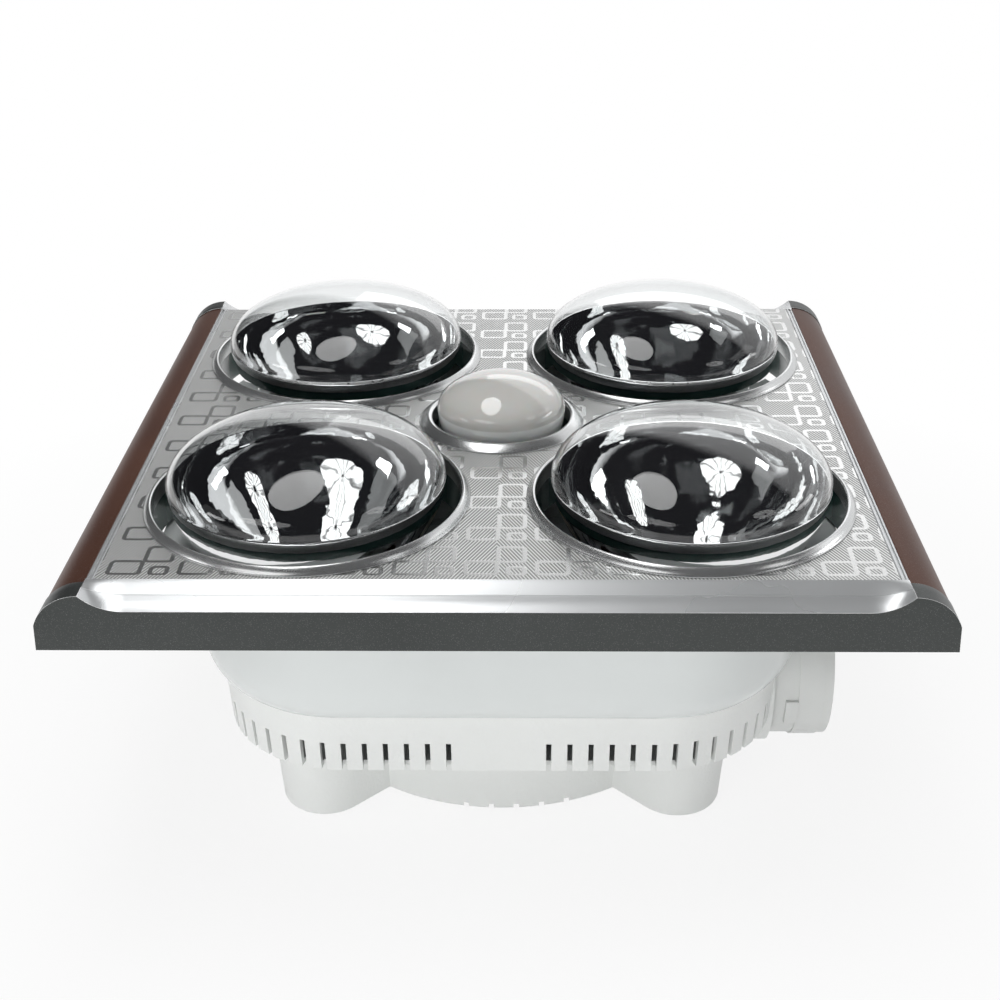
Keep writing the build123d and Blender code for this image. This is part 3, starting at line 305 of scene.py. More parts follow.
phenolic = finish("brown phenolic", "#3c231a", "#2f1b14", 12, (0.25, 0.4), 0.4, 0.01)
print("plastics ready")

# %% [markdown]
# Metals inside the housing are plain working parts. Rolled sheet shows streaks along its rolling
# direction, which is the same noise pulled long one way. Brass and ground steel differ in colour
# and gloss only.

# %% Working metals and ceramic
tray_sheet = finish("rolled aluminium sheet", "#c3c6c8", "#b2b5b7", 12, (0.22, 0.38), 0.25, 0.006,
    stretch=(0.06, 1, 1), Metallic=1.0)
bridge_steel = finish("galvanised steel strip", "#a4a7aa", "#8b8f92", 9, (0.35, 0.55), 1.2, 0.01,
    Metallic=1.0)
spring_steel = finish("spring steel", "#9da0a2", "#878a8c", 10, (0.25, 0.4), 0.2, 0.004,
    stretch=(1, 0.1, 1), Metallic=1.0)
shaft_steel = finish("ground steel", "#b0b1b3", "#a0a1a3", 6, (0.15, 0.25), 0.15, 0.002,
    stretch=(1, 1, 0.1), Metallic=1.0)
contact_brass = finish("plain brass", "#c9a45a", "#b48c43", 10, (0.25, 0.4), 0.4, 0.004, Metallic=1.0)
cap_metal = finish("rolled aluminium cap", "#bdbdbb", "#a9a9a7", 8, (0.25, 0.4), 0.4, 0.006, Metallic=1.0)
motor_paint = finish("dark motor enamel", "#404244", "#333537", 20, (0.3, 0.42), 0.7, 0.02)
holder_ceramic = finish("glazed white ceramic", "#e8e5dc", "#dcd8cd", 25, (0.12, 0.22), 1.6, 0.02,
    Coat_Weight=0.5)
filament_wire = finish("coiled lamp wire", "#8f9092", "#77787a", 4, (0.3, 0.4), 0.1, 0.002, Metallic=1.0)
print("metals ready")

# %% [markdown]
# A reflector bulb is one glass envelope. Its front is clear, and the bowl behind the widest line
# is silvered inside, so it looks like a mirror from both sides.
# The opal lamp has a milky coating under polished glass: white scattered light, with a hard gloss over it.

# %% Glass finishes
lamp_glass = finish("clear lamp glass", "#fdfefe", "#f8fafa", 80, (0.0, 0.015), 9.0, 0.006,
    Transmission_Weight=1.0, IOR=1.47)
lamp_mirror = finish("silvered lamp bowl", "#eceded", "#e2e3e4", 45, (0.02, 0.05), 11.0, 0.16, Metallic=1.0)
stem_glass = finish("lamp stem glass", "#f2f6f5", "#e6edeb", 20, (0.02, 0.06), 3.0, 0.02,
    Transmission_Weight=1.0, IOR=1.5)
opal_glass = finish("milky lamp glass", "#d2d1cd", "#cac9c5", 40, (0.04, 0.08), 8.0, 0.004,
    Coat_Weight=1.0, Coat_Roughness=0.02, Subsurface_Weight=0.1, Subsurface_Scale=0.004)
# Below its widest line the milky glass is painted whiter, a painted light for its brightly lit skirt, with
# a blend of under 1 mm between; heights in mm.
SKIRT_TOP, SKIRT_FOOT = 33.4, 32.6
tree = opal_glass.node_tree
add = adder(tree)
axes = add("SeparateXYZ", {0: tree.nodes["place"]})
skirt = add("MapRange", {"Value": axes.outputs[2], "From Min": SKIRT_TOP * MM, "From Max": SKIRT_FOOT * MM})
skirt_painted_light = add("Mix", {0: skirt, 6: tree.nodes["tint"].outputs[2], 7: srgb("#f4f4f2")}, data_type="RGBA")
tree.links.new(skirt_painted_light.outputs[2], tree.nodes["Principled BSDF"].inputs["Base Color"])
print("glass ready")

# %% [markdown]
# The imported solids come as loose triangles. To look moulded or pressed, a copy is welded, its flat
# faces are joined up again, its edges are eased with a small bevel, and only true corners stay sharp.
# The copy then stands for the solid, which keeps its work as the collision shape, hidden.

# %% Ease the edges of a imported solid
# Points closer than this are one point, in metres. Faces within the flat angle are one face, and
# edges that turn more than the true corner's angle stay sharp, in degrees.
WELD, FLAT_ANGLE, TRUE_CORNER = 2e-6, 0.4, 32


def settle(piece, node, materials):
    """Gives a finished piece its finishes and its body, and hides the solids that it stands for."""
    chosen = [face.material_index for face in piece.data.polygons]
    piece.data.materials.clear()
    for material in materials:
        piece.data.materials.append(material)
    if len(materials) > 1:
        piece.data.polygons.foreach_set("material_index", chosen)
    nodes = [node] if isinstance(node, str) else node
    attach(piece, body_of[nodes[0]])
    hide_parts(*nodes)
    return piece


def shade_by_angle(mesh, degrees=TRUE_CORNER):
    """Shades a mesh smooth between its true corners."""
    mesh.shade_smooth()
    mesh.set_sharp_from_angle(angle=math.radians(degrees))


def kept(form, name):
    """A new mesh with the faces of a working form, which is let go."""
    mesh = bpy.data.meshes.new(name)
    form.to_mesh(mesh)
    form.free()
    return mesh


def ease_edges(piece, width, segments, degrees):
    """Rounds the corners that are sharper than an angle; the width is in mm."""
    easing = piece.modifiers.new("eased edges", "BEVEL")
    easing.width = width * MM
    easing.segments = segments
    easing.limit_method = "ANGLE"
    easing.angle_limit = math.radians(degrees)
    return easing


def eased(node, material, bevel=0.0, degrees=TRUE_CORNER):
    """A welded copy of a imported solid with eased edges; the bevel is in mm."""
    form = bmesh.new()
    form.from_mesh(frame["nodes"][node].data)
    bmesh.ops.remove_doubles(form, verts=form.verts, dist=WELD)
    bmesh.ops.dissolve_limit(form, angle_limit=math.radians(FLAT_ANGLE), verts=form.verts, edges=form.edges)
    mesh = kept(form, node + "_eased")
    for layer in [a for a in mesh.attributes if a.name == "custom_normal"]:
        mesh.attributes.remove(layer)
    shade_by_angle(mesh, degrees)
    piece = add_piece(node + "_eased", mesh)
    if bevel:
        ease_edges(piece, bevel, 2, degrees).harden_normals = True
    return settle(piece, node, [material])


print("easing ready")

# %% [markdown]
# Lamps, rings and their glass are all turned forms: one section, swung round an axis.
# That is a rule, so a Geometry Nodes tree makes them. A grid is laid out with one row for each
# step round, each of its points looks up a point of the section, and is swung to its place.

# %% A tree that turns a section
def new_tree(name, inputs):
    """A Geometry Nodes tree with named inputs and a geometry output, its adder, and what it is given."""
    tree = bpy.data.node_groups.new(name, "GeometryNodeTree")
    tree.interface.new_socket("Geometry", in_out="INPUT", socket_type="NodeSocketGeometry")
    for label, kind in inputs.items():
        tree.interface.new_socket(label, in_out="INPUT", socket_type="NodeSocket" + kind)
    tree.interface.new_socket("Geometry", in_out="OUTPUT", socket_type="NodeSocketGeometry")
    add = adder(tree)
    return tree, add, add("GroupInput").outputs


def finish_tree(tree, result, given):
    """Ends a tree with real geometry that has its finish."""
    add = adder(tree)
    real = add("RealizeInstances", {0: result})
    coated = add("SetMaterial", {"Geometry": real, "Material": given["Finish"]})
    add("GroupOutput", {0: coated})
    return tree


def way_round(add, number, count, share=1.0):
    """The angle of one step out of a count of steps round a share of the circle."""
    part = add("Math", {0: number, 1: count}, "DIVIDE")
    return add("Math", {0: part, 1: 2 * math.pi * share}, "MULTIPLY")


tree, add, given = new_tree("Turn a section", {"Steps": "Int", "Points": "Int", "Middle": "Vector",
    "Finish": "Material"})
grid = add("MeshGrid", {"Vertices X": given["Steps"], "Vertices Y": given["Points"]})
index = add("InputIndex")
column = add("Math", {0: index, 1: given["Points"]}, "DIVIDE")
column = add("Math", {0: column}, "FLOOR")
point = add("Math", {0: index, 1: given["Points"]}, "MODULO")
corner = add("InputPosition")
look = add("SampleIndex", {"Geometry": given["Geometry"], "Index": point}, data_type="FLOAT_VECTOR")
tree.links.new(corner.outputs[0], next(s for s in look.inputs if s.name == "Value" and s.type == "VECTOR"))
spaces = add("Math", {0: given["Steps"], 1: 1.0}, "SUBTRACT")
angle = way_round(add, column, spaces)
swung = add("VectorRotate", {"Angle": angle}, rotation_type="Z_AXIS")
tree.links.new(next(s for s in look.outputs if s.type == "VECTOR"), swung.inputs["Vector"])
moved = add("VectorMath", {0: swung, 1: given["Middle"]}, "ADD")
placed = add("SetPosition", {"Geometry": grid, "Position": moved})
closed = add("MergeByDistance", {"Geometry": placed, "Distance": WELD})
turn_tree = finish_tree(tree, closed, given)
print("turning tree", len(turn_tree.nodes), "nodes")

# %% [markdown]
# A tree is run as a modifier, with its inputs set by their identifiers, and the result is kept as a
# plain mesh. After that the piece is like any other: its faces are turned outwards and it is shaded
# smooth between true corners.

# %% Run a tree and keep its mesh
def plain_mesh(holder):
    """The mesh that a helper piece works out to; the helper is let go."""
    graph = bpy.context.evaluated_depsgraph_get()
    mesh = bpy.data.meshes.new_from_object(holder.evaluated_get(graph))
    bpy.data.objects.remove(holder)
    return mesh


def grown(name, start_mesh, tree, values):
    """The plain mesh that a tree makes from a starting mesh."""
    holder = add_piece(name, start_mesh)
    modifier = holder.modifiers.new("grow", "NODES")
    modifier.node_group = tree
    for item in tree.interface.items_tree:
        if item.in_out == "INPUT" and item.name in values:
            modifier[item.identifier] = values[item.name]
    holder.update_tag()
    mesh = plain_mesh(holder)
    mesh.name = name
    return mesh


def face_outwards(mesh):
    """Welds a mesh and turns its faces outwards."""
    form = bmesh.new()
    form.from_mesh(mesh)
    bmesh.ops.remove_doubles(form, verts=form.verts, dist=WELD)
    bmesh.ops.dissolve_degenerate(form, dist=1e-7, edges=form.edges)
    bmesh.ops.recalc_face_normals(form, faces=form.faces)
    form.to_mesh(mesh)
    form.free()


def turned(name, section, material, middle=(0, 0), steps=128, degrees=TRUE_CORNER):
    """A turned piece from a section of (radius, height) points in mm, closed or ending on the axis."""
    mesh = bpy.data.meshes.new(name)
    points = [(radius * MM, 0, height * MM) for radius, height in section]
    if section[0][0] > 0:
        points.append(points[0])
    mesh.from_pydata(points, [], [])
    values = {"Steps": steps + 1, "Points": len(points), "Middle": (middle[0] * MM, middle[1] * MM, 0),
        "Finish": material}
    made = grown(name, mesh, turn_tree, values)
    face_outwards(made)
    shade_by_angle(made, degrees)
    return add_piece(name, made)


print("ready to turn")

# %% [markdown]
# Each lamp drops through a plated ring. The real one is spun from sheet: a neck that goes down
# into the panel, a rounded mouth, and a sloped outer band that ends in a small upright edge.
# The mouth's tight curve is what catches the light as a thin white line, so it gets many steps.

# %% The five rings
PANEL_TOP, RING_FOOT = 25.6, 21.0
LAMP_RING, CENTRE_RING = (69.4, 73.5, 29.3), (34.4, 41.0, 29.2)
places = {"front_left": (-86, -86), "front_right": (86, -86), "rear_left": (-86, 86),
    "rear_right": (86, 86)}


def curved(start, middle, end, steps=8):
    """Points of a smooth bend from start to end that leans towards middle, without its first point."""
    points = []
    for step in range(1, steps + 1):
        t = step / steps
        weights = ((1 - t) ** 2, 2 * t * (1 - t), t * t)
        points.append(tuple(sum(w * p[axis] for w, p in zip(weights, (start, middle, end)))
            for axis in (0, 1)))
    return points


def ring_section(inner, outer, top):
    """A ring's section from its inner and outer radius and its height, in mm."""
    crest = inner + (outer - inner) * 0.3
    seat = PANEL_TOP + 0.02
    band_foot = (outer, PANEL_TOP + 0.55)
    section = [(inner + 1.0, RING_FOOT), (inner + 1.0, seat), (outer - 0.25, seat)]
    section += curved(section[-1], (outer, seat), band_foot, 4)
    section += curved(band_foot, (outer, PANEL_TOP + 0.8), (outer - 0.3, PANEL_TOP + 1.0), 4)
    section += curved(section[-1], ((outer + crest) / 2 + 0.3, (PANEL_TOP + 0.8 + top) / 2 + 0.3),
        (crest, top), 8)
    section += curved((crest, top), (inner, top), (inner, top - 0.9), 8)
    return section + [(inner, RING_FOOT + 0.2), (inner + 0.3, RING_FOOT)]


for place, middle in places.items():
    ring = turned("lamp_ring_" + place + "_spun", ring_section(*LAMP_RING), bright_plating, middle, 160, 40)
    settle(ring, "lamp_ring_" + place, [bright_plating])
centre_ring = turned("centre_ring_spun", ring_section(*CENTRE_RING), bright_plating, (0, 0), 128, 40)
settle(centre_ring, "centre_ring", [bright_plating])
print("ring points", len(ring_section(*LAMP_RING)))

# %% [markdown]
# A reflector bulb is blown in a mould. Its clear dome is a flattened half ball, and its bowl narrows
# in a gentle S to the neck, so that light from the wire leaves straight ahead.
# Dome and bowl are two pieces here, because one is clear and the other silvered.
# The glass has a real thickness, since thin glass bends light only at its rim.

# %% The reflector lamps' glass
GLASS_RADIUS, GLASS_RISE, WIDEST, WALL = 62.5, 25.5, 36.5, 1.2
# The bowl's neck, waist and widest line: height, radius and slope.
NECK, WAIST, BROW = (-62.0, 19.0, 0.0), (-10.0, 38.5, 0.674), (WIDEST, GLASS_RADIUS, 0.0)


def bowl_radius(height):
    """Outside radius of the reflector bowl at a height, in mm: two smooth bends that meet at the waist."""
    start, end = (NECK, WAIST) if height < WAIST[0] else (WAIST, BROW)
    span = end[0] - start[0]
    t = (height - start[0]) / span
    return (start[1] * (2 * t ** 3 - 3 * t ** 2 + 1) + start[2] * span * (t ** 3 - 2 * t ** 2 + t)
        + end[1] * (3 * t ** 2 - 2 * t ** 3) + end[2] * span * (t ** 3 - t ** 2))


def dome_points(radius, rise, foot, steps=28):
    """Points of a flattened half ball from its top to its widest line."""
    turns = [step / steps * math.pi / 2 for step in range(steps + 1)]
    return [(radius * math.sin(turn), foot + rise * math.cos(turn)) for turn in turns]


DOME_FOOT, BOWL_TOP, BOWL_STEPS = WIDEST - 0.9, WIDEST - 1.0, 44
dome_outside = dome_points(GLASS_RADIUS, GLASS_RISE, WIDEST)
dome_inside = dome_points(GLASS_RADIUS - WALL, GLASS_RISE - WALL, WIDEST)
dome_rim = [(GLASS_RADIUS - 0.05, DOME_FOOT), (GLASS_RADIUS - WALL, DOME_FOOT)]
dome_section = dome_outside + dome_rim + dome_inside[::-1]
heights = [BOWL_TOP - step * (BOWL_TOP - NECK[0]) / BOWL_STEPS for step in range(BOWL_STEPS + 1)]
bowl_outside = [(bowl_radius(height), height) for height in heights]
bowl_outside += [(19.0, -77.5), (17.6, -81.5), (12.5, -87.9)]
bowl_inside = [(max(radius - WALL, 10.9), height) for radius, height in bowl_outside]
bowl_section = bowl_outside + bowl_inside[::-1]
for place, middle in places.items():
    dome = turned("lamp_dome_" + place, dome_section, lamp_glass, middle, 128)
    settle(dome, "lamp_bulb_" + place, [lamp_glass])
    bowl = turned("lamp_bowl_" + place, bowl_section, lamp_mirror, middle, 128)
    settle(bowl, "lamp_bulb_" + place, [lamp_mirror])
print("dome points", len(dome_section), "bowl points", len(bowl_section))

# %% [markdown]
# The small lamp in the middle lights the room. Its bulb is a smaller mushroom in milky glass.

# %% The opal lamp's glass
OPAL_RADIUS, OPAL_RISE, OPAL_WIDEST, OPAL_WALL = 31.75, 16.0, 33.0, 1.0
shoulder, waist = (26.6, 12.0), (14.4, -12.0)
opal_side = curved((OPAL_RADIUS, OPAL_WIDEST), (OPAL_RADIUS, 24.0), shoulder, 12)
opal_side += curved(shoulder, (21.0, 0.0), waist, 10)
opal_outside = dome_points(OPAL_RADIUS, OPAL_RISE, OPAL_WIDEST) + opal_side
opal_outside += [(14.4, -20.0), (13.6, -25.0), (12.5, -29.9)]
opal_inside = [(max(radius - OPAL_WALL, 0.0), height - (OPAL_WALL if height > OPAL_WIDEST else 0.0))
    for radius, height in opal_outside]
opal_section = opal_outside + opal_inside[::-1]
opal = turned("opal_bulb_blown", opal_section, opal_glass, (0, 0), 112)
settle(opal, "opal_bulb", [opal_glass])
print("opal points", len(opal_section))

# %% [markdown]
# Inside each reflector lamp a wire ring glows. The wire is wound into a fine coil first, and the coil
# is bent round and held on a glass stem by two leads and a few hooks.
# A coil follows a rule, so a tree lays points on a line, moves them onto the coil, and sweeps a wire.

# %% A tree that winds a ring of wire
RING_SHARE = 0.93
tree, add, given = new_tree("Wind a ring of wire", {"Points": "Int", "Turns": "Float", "Ring": "Float",
    "Coil": "Float", "Wire": "Float", "Middle": "Vector", "Finish": "Material"})
line = add("MeshLine", {"Count": given["Points"]})
round_angle = way_round(add, add("InputIndex"), given["Points"], RING_SHARE)
coil_angle = add("Math", {0: round_angle, 1: given["Turns"]}, "MULTIPLY")
out = add("Math", {0: coil_angle}, "COSINE")
lift = add("Math", {0: coil_angle}, "SINE")
reach = add("Math", {0: out, 1: given["Coil"], 2: given["Ring"]}, "MULTIPLY_ADD")
rise = add("Math", {0: lift, 1: given["Coil"]}, "MULTIPLY")
spot = add("CombineXYZ", {0: reach, 2: rise})
swung = add("VectorRotate", {"Vector": spot, "Angle": round_angle}, rotation_type="Z_AXIS")
moved = add("VectorMath", {0: swung, 1: given["Middle"]}, "ADD")
bent = add("SetPosition", {"Geometry": line, "Position": moved})
path = add("MeshToCurve", {0: bent})
section = add("CurvePrimitiveCircle", {"Resolution": 5, "Radius": given["Wire"]})
wire = add("CurveToMesh", {"Curve": path, "Profile Curve": section, "Fill Caps": True})
coil_tree = finish_tree(tree, wire, given)
print("coil tree", len(coil_tree.nodes), "nodes")

# %% [markdown]
# The rest of the mount is a pressed glass stem, two leads and three wire hooks.
# Thin rods are made by one helper that puts a small tube along a list of points.

# %% Stems, leads and filaments
def rods(name, paths, radius, sides=8):
    """One mesh of round wires along lists of points, all in mm."""
    curve = bpy.data.curves.new(name, "CURVE")
    curve.dimensions = "3D"
    curve.bevel_depth = radius * MM
    curve.bevel_resolution = max(0, sides // 4 - 1)
    curve.use_fill_caps = True
    for points in paths:
        spline = curve.splines.new("POLY")
        spline.points.add(len(points) - 1)
        for knot, point in zip(spline.points, points):
            knot.co = (*(Vector(point) * MM), 1.0)
    mesh = plain_mesh(add_piece(name, curve))
    shade_by_angle(mesh, 60)
    return mesh


def joined(name, meshes):
    """Several meshes as one piece, each with its own finish kept by its slot."""
    form = bmesh.new()
    for number, mesh in enumerate(meshes):
        before = len(form.faces)
        form.from_mesh(mesh)
        form.faces.ensure_lookup_table()
        for face in form.faces[before:]:
            face.material_index = number
    return add_piece(name, kept(form, name))


LEAD_ANGLES = (0.0, 5.8, 1.5, 2.9, 4.4)
WOUND = {"Points": 660, "Turns": 55.0, "Coil": 0.95 * MM, "Wire": 0.22 * MM, "Finish": filament_wire}


def lamp_mount(name, node, middle, foot, height, reach, stem):
    """Glass stem, leads, hooks and wound wire of one lamp; sizes in mm."""
    x, y = middle
    pinch = (stem * 0.5, height - 6)
    section = [(0, height), (stem * 0.45, height - 0.5), pinch]
    section += curved(pinch, (stem * 0.55, (height + foot) / 2), (stem, foot + 3), 8)
    stem_piece = turned(name + "_stem", section + [(stem, foot), (0, foot)], stem_glass, middle, 24)
    hold = reach * 0.98
    tops = [(x + hold * math.cos(angle), y + hold * math.sin(angle), height) for angle in LEAD_ANGLES]
    paths = [[(x, y, height - 3), ((x * 3 + top[0]) / 4, (y * 3 + top[1]) / 4, height - 2.4), top]
        for top in tops]
    wires = rods(name + "_leads", paths, 0.4)
    values = {**WOUND, "Ring": reach * MM, "Middle": Vector((x, y, height)) * MM}
    wound = grown(name, bpy.data.meshes.new(name), coil_tree, values)
    wound.shade_smooth()
    mount = joined(name + "_mount", [stem_piece.data, wires, wound])
    bpy.data.objects.remove(stem_piece)
    return settle(mount, node, [stem_glass, spring_steel, filament_wire])


for place, middle in places.items():
    lamp_mount("lamp_" + place, "lamp_filament_" + place, middle, -86.8, -19.0, 13.3, 5.9)
mount = lamp_mount("opal", "opal_filament", (0, 0), -29.0, 16.5, 10.0, 4.5)
print("mount triangles", len(mount.data.polygons))

# %% [markdown]
# The front and rear mouldings are what the eye meets first. Each is a bent metal channel: an upright
# face, a sloped top that rises to the plate in two steps, and at each end a hollow flare that sweeps
# up to a sharp corner. A rounded cap closes each end and meets the rail.
# The skin is laid out as rows of points along the panel and gets its wall with Solidify, so the
# edges of both sides stay parallel. Small bevels, coloured near white as a painted highlight, then
# give the thin white lines of real edges.

# %% Shape of the mouldings
HALF_X, HALF_Y, CREST_X = 188.5, 174.5, 168.5
# Heights of the front edge and the crease, the flare's length, and the hollow's depth, in mm.
FRONT_EDGE, CREASE, FLARE, HOLLOW = 18.4, 22.2, 17.8, 0.5
ROWS = (0.0, 1.8, 3.6, 5.4, 7.05, 7.35, 12.0, 14.5)
CREASE_ROW, SEAM, CAP_ROWS = 7.2, 4, 7
# The end cap's bend: its middle's height, its radius, and the height where it meets the foot.
END_MIDDLE, END_BEND, END_FOOT = 4.972, 20.628, 11.7
SKIN_WALL, MOULDING_CORNER = 1.8, 22


def row_height(row, x):
    """Height of the moulding's skin at a row across it and a place along it, in mm."""
    share = min(1.0, max(0.0, (abs(x) - (CREST_X - FLARE)) / FLARE))
    rise = PANEL_TOP - FRONT_EDGE
    bend = (rise ** 2 + FLARE ** 2) / (2 * rise)
    edge = FRONT_EDGE + bend - math.sqrt(bend ** 2 - (share * FLARE) ** 2)
    crease = CREASE + (PANEL_TOP - CREASE) * share ** 2
    if row <= CREASE_ROW:
        hollow = HOLLOW * (1 - share) * math.sin(math.pi * row / CREASE_ROW)
        return edge + (crease - edge) * row / CREASE_ROW - hollow
    return crease + (PANEL_TOP - crease) * (row - CREASE_ROW) / (ROWS[-1] - CREASE_ROW)


def end_arc(inset=0.0, steps=14):
    """The panel's rounded end from crest to foot, as (x, z) in mm."""
    bend = END_BEND - inset
    turn = math.acos(min(1.0, (END_FOOT - END_MIDDLE) / bend))
    turns = [turn * step / steps for step in range(steps + 1)]
    arc = [(CREST_X + bend * math.sin(angle), END_MIDDLE + bend * math.cos(angle)) for angle in turns]
    return arc + [(HALF_X - inset, 0.0)]


FLARE_STEPS = 12
flare_steps = [CREST_X - FLARE * (1 - step / FLARE_STEPS) for step in range(FLARE_STEPS + 1)]
stations = [-x for x in reversed(flare_steps)] + [-100.0, -50.0, 0.0, 50.0, 100.0] + flare_steps
print("stations", len(stations), "corner", round(row_height(0, CREST_X), 2))

# %% Build the front and rear mouldings
def moulding(name, node, side):
    """One moulding; side is -1 for the front and 1 for the rear."""
    form = bmesh.new()
    rows = [[form.verts.new((x * MM, side * (HALF_Y - row) * MM, row_height(row, x) * MM))
        for x in stations] for row in ROWS]
    foot = [form.verts.new((x * MM, side * HALF_Y * MM, 0)) for x in stations]
    # The dark slot on the upright face and end caps holds the silver painted darker as shade.
    dark, bright, polished, seam = range(4)
    for column in range(len(stations) - 1):
        front = form.faces.new((foot[column], foot[column + 1], rows[0][column + 1], rows[0][column]))
        front.material_index = dark
        for number, (low, high) in enumerate(zip(rows, rows[1:])):
            strip = form.faces.new((low[column], low[column + 1], high[column + 1], high[column]))
            strip.material_index = seam if number == SEAM else bright
    for end in (-1, 1):
        first = 0 if end < 0 else len(stations) - 1
        edges = [[rows[number][first]] for number in range(CAP_ROWS)]
        for x, z in end_arc()[1:]:
            for number, row in enumerate(ROWS[:CAP_ROWS]):
                edges[number].append(form.verts.new((end * x * MM, side * (HALF_Y - row) * MM, z * MM)))
        for step in range(len(edges[0]) - 1):
            for near, far in zip(edges, edges[1:]):
                form.faces.new((near[step], near[step + 1], far[step + 1], far[step])).material_index = dark
        rim = [foot[first], *reversed(edges[0][1:]), rows[0][first]]
        form.faces.new(rim).material_index = dark
    bmesh.ops.recalc_face_normals(form, faces=form.faces)
    top = max(form.faces, key=lambda face: face.calc_center_median().z - 9 * (face.material_index == dark))
    if top.normal.z < 0:
        bmesh.ops.reverse_faces(form, faces=form.faces)
    mesh = kept(form, name)
    shade_by_angle(mesh, MOULDING_CORNER)
    piece = add_piece(name, mesh)
    settle(piece, node, [silver_painted_shade, satin_silver, edge_painted_highlight, seam_shade])
    wall = piece.modifiers.new("metal thickness", "SOLIDIFY")
    wall.thickness = SKIN_WALL * MM
    wall.offset = -1
    wall.use_even_offset = False
    # The bevels take the near white edge finish, a painted highlight.
    ease_edges(piece, 0.5, 3, MOULDING_CORNER).material = polished
    return piece


front_piece = moulding("front_moulding_bent", "front_moulding", -1)
rear_piece = moulding("rear_moulding_bent", "rear_moulding", 1)
print("moulding faces", len(front_piece.data.polygons))

# %% [markdown]
# The two brown rails are extruded and lacquered, and lie a hair lower than the end caps.
# Between rail and plate runs a narrow bead with a groove. Both keep one section all along, so one
# helper pushes an outline along the panel's depth.

# %% Rails and beads
def extruded(name, section, reach, bevel=0.25):
    """A section of (x, z) points pushed along Y as far to the front as to the rear, in mm."""
    form = bmesh.new()
    near, far = [[form.verts.new((x * MM, y * MM, z * MM)) for x, z in section] for y in (-reach, reach)]
    form.faces.new(near)
    form.faces.new(far)
    for step in range(len(section)):
        after = (step + 1) % len(section)
        form.faces.new((near[step], near[after], far[after], far[step]))
    bmesh.ops.recalc_face_normals(form, faces=form.faces)
    mesh = kept(form, name)
    shade_by_angle(mesh, 30)
    piece = add_piece(name, mesh)
    ease_edges(piece, bevel, 2, 30)
    return piece


RAIL_INSET, RAIL_WALL, RAIL_HALF, BEAD_HALF = 0.4, 2.0, 162.3, 159.98
rail_inside = [(x, z) for x, z in end_arc(RAIL_INSET + RAIL_WALL) if x > CREST_X + 2.2]
rail_section = [(CREST_X, 0.0)] + end_arc(RAIL_INSET) + rail_inside[::-1]
rail_section += [(CREST_X + RAIL_WALL, 22.8), (CREST_X + RAIL_WALL, 0.0)]
bead_section = [(165.2, 19.6), (165.2, 25.2), (165.6, 25.6), (166.3, 25.6), (166.45, 24.8), (167.25, 24.8),
    (167.4, 25.6), (168.1, 25.6), (168.48, 25.2), (168.48, 19.6)]
for side, word in ((1, "right"), (-1, "left")):
    section = [(side * x, z) for x, z in rail_section]
    rail = extruded(word + "_rail_lacquered", section, RAIL_HALF)
    settle(rail, word + "_rail", [rail_brown])
    section = [(side * x, z) for x, z in bead_section]
    bead = extruded(word + "_bead_drawn", section, BEAD_HALF, 0.1)
    settle(bead, word + "_bead", [satin_silver])
print("rail points", len(rail_section))

# %% [markdown]
# Small round-headed screws hold tray, bridge and housings. They are all one screw, set down many
# times, which is the plainest use of a tree: points in, screws out.

# %% A tree that sets screws at points
HEAD_TAPER = 0.72
GROOVE = (8 * MM, 0.9 * MM, 1.2 * MM)
tree, add, given = new_tree("Set screws at points", {"Head radius": "Float", "Head height": "Float",
    "Shank radius": "Float", "Length": "Float", "Tilt": "Vector", "Finish": "Material"})
narrow = add("Math", {0: given["Head radius"], 1: HEAD_TAPER}, "MULTIPLY")
head = add("MeshCone", {"Vertices": 24, "Radius Top": narrow, "Radius Bottom": given["Head radius"],
    "Depth": given["Head height"]})
blade = add("MeshCube", {"Size": GROOVE})
top = add("CombineXYZ", {2: given["Head height"]})
sunk = add("Transform", {"Geometry": blade, "Translation": top})
slotted = add("MeshBoolean", {"Mesh 1": head, "Mesh 2": sunk}, "DIFFERENCE")
shank = add("MeshCylinder", {"Vertices": 16, "Radius": given["Shank radius"], "Depth": given["Length"]})
down = add("Math", {0: given["Length"], 1: -0.5}, "MULTIPLY")
under = add("CombineXYZ", {2: down})
hung = add("Transform", {"Geometry": shank, "Translation": under})
whole = add("JoinGeometry")
tree.links.new(hung.outputs[0], whole.inputs[0])
tree.links.new(slotted.outputs[0], whole.inputs[0])
turn = add("EulerToRotation", {0: given["Tilt"]})
spread = add("InstanceOnPoints", {"Points": given["Geometry"], "Instance": whole, "Rotation": turn})
screw_tree = finish_tree(tree, spread, given)


def screws(name, node, points, length, head_up):
    """Screws with the underside of their heads at points in mm."""
    mesh = bpy.data.meshes.new(name)
    mesh.from_pydata([Vector(point) * MM for point in points], [], [])
    values = {"Head radius": 3.35 * MM, "Head height": 1.95 * MM, "Shank radius": 1.55 * MM,
        "Length": length * MM, "Tilt": (0, 0, 0) if head_up else (math.pi, 0, 0), "Finish": spring_steel}
    made = grown(name, mesh, screw_tree, values)
    shade_by_angle(made, 35)
    return settle(add_piece(name, made), node, [spring_steel])


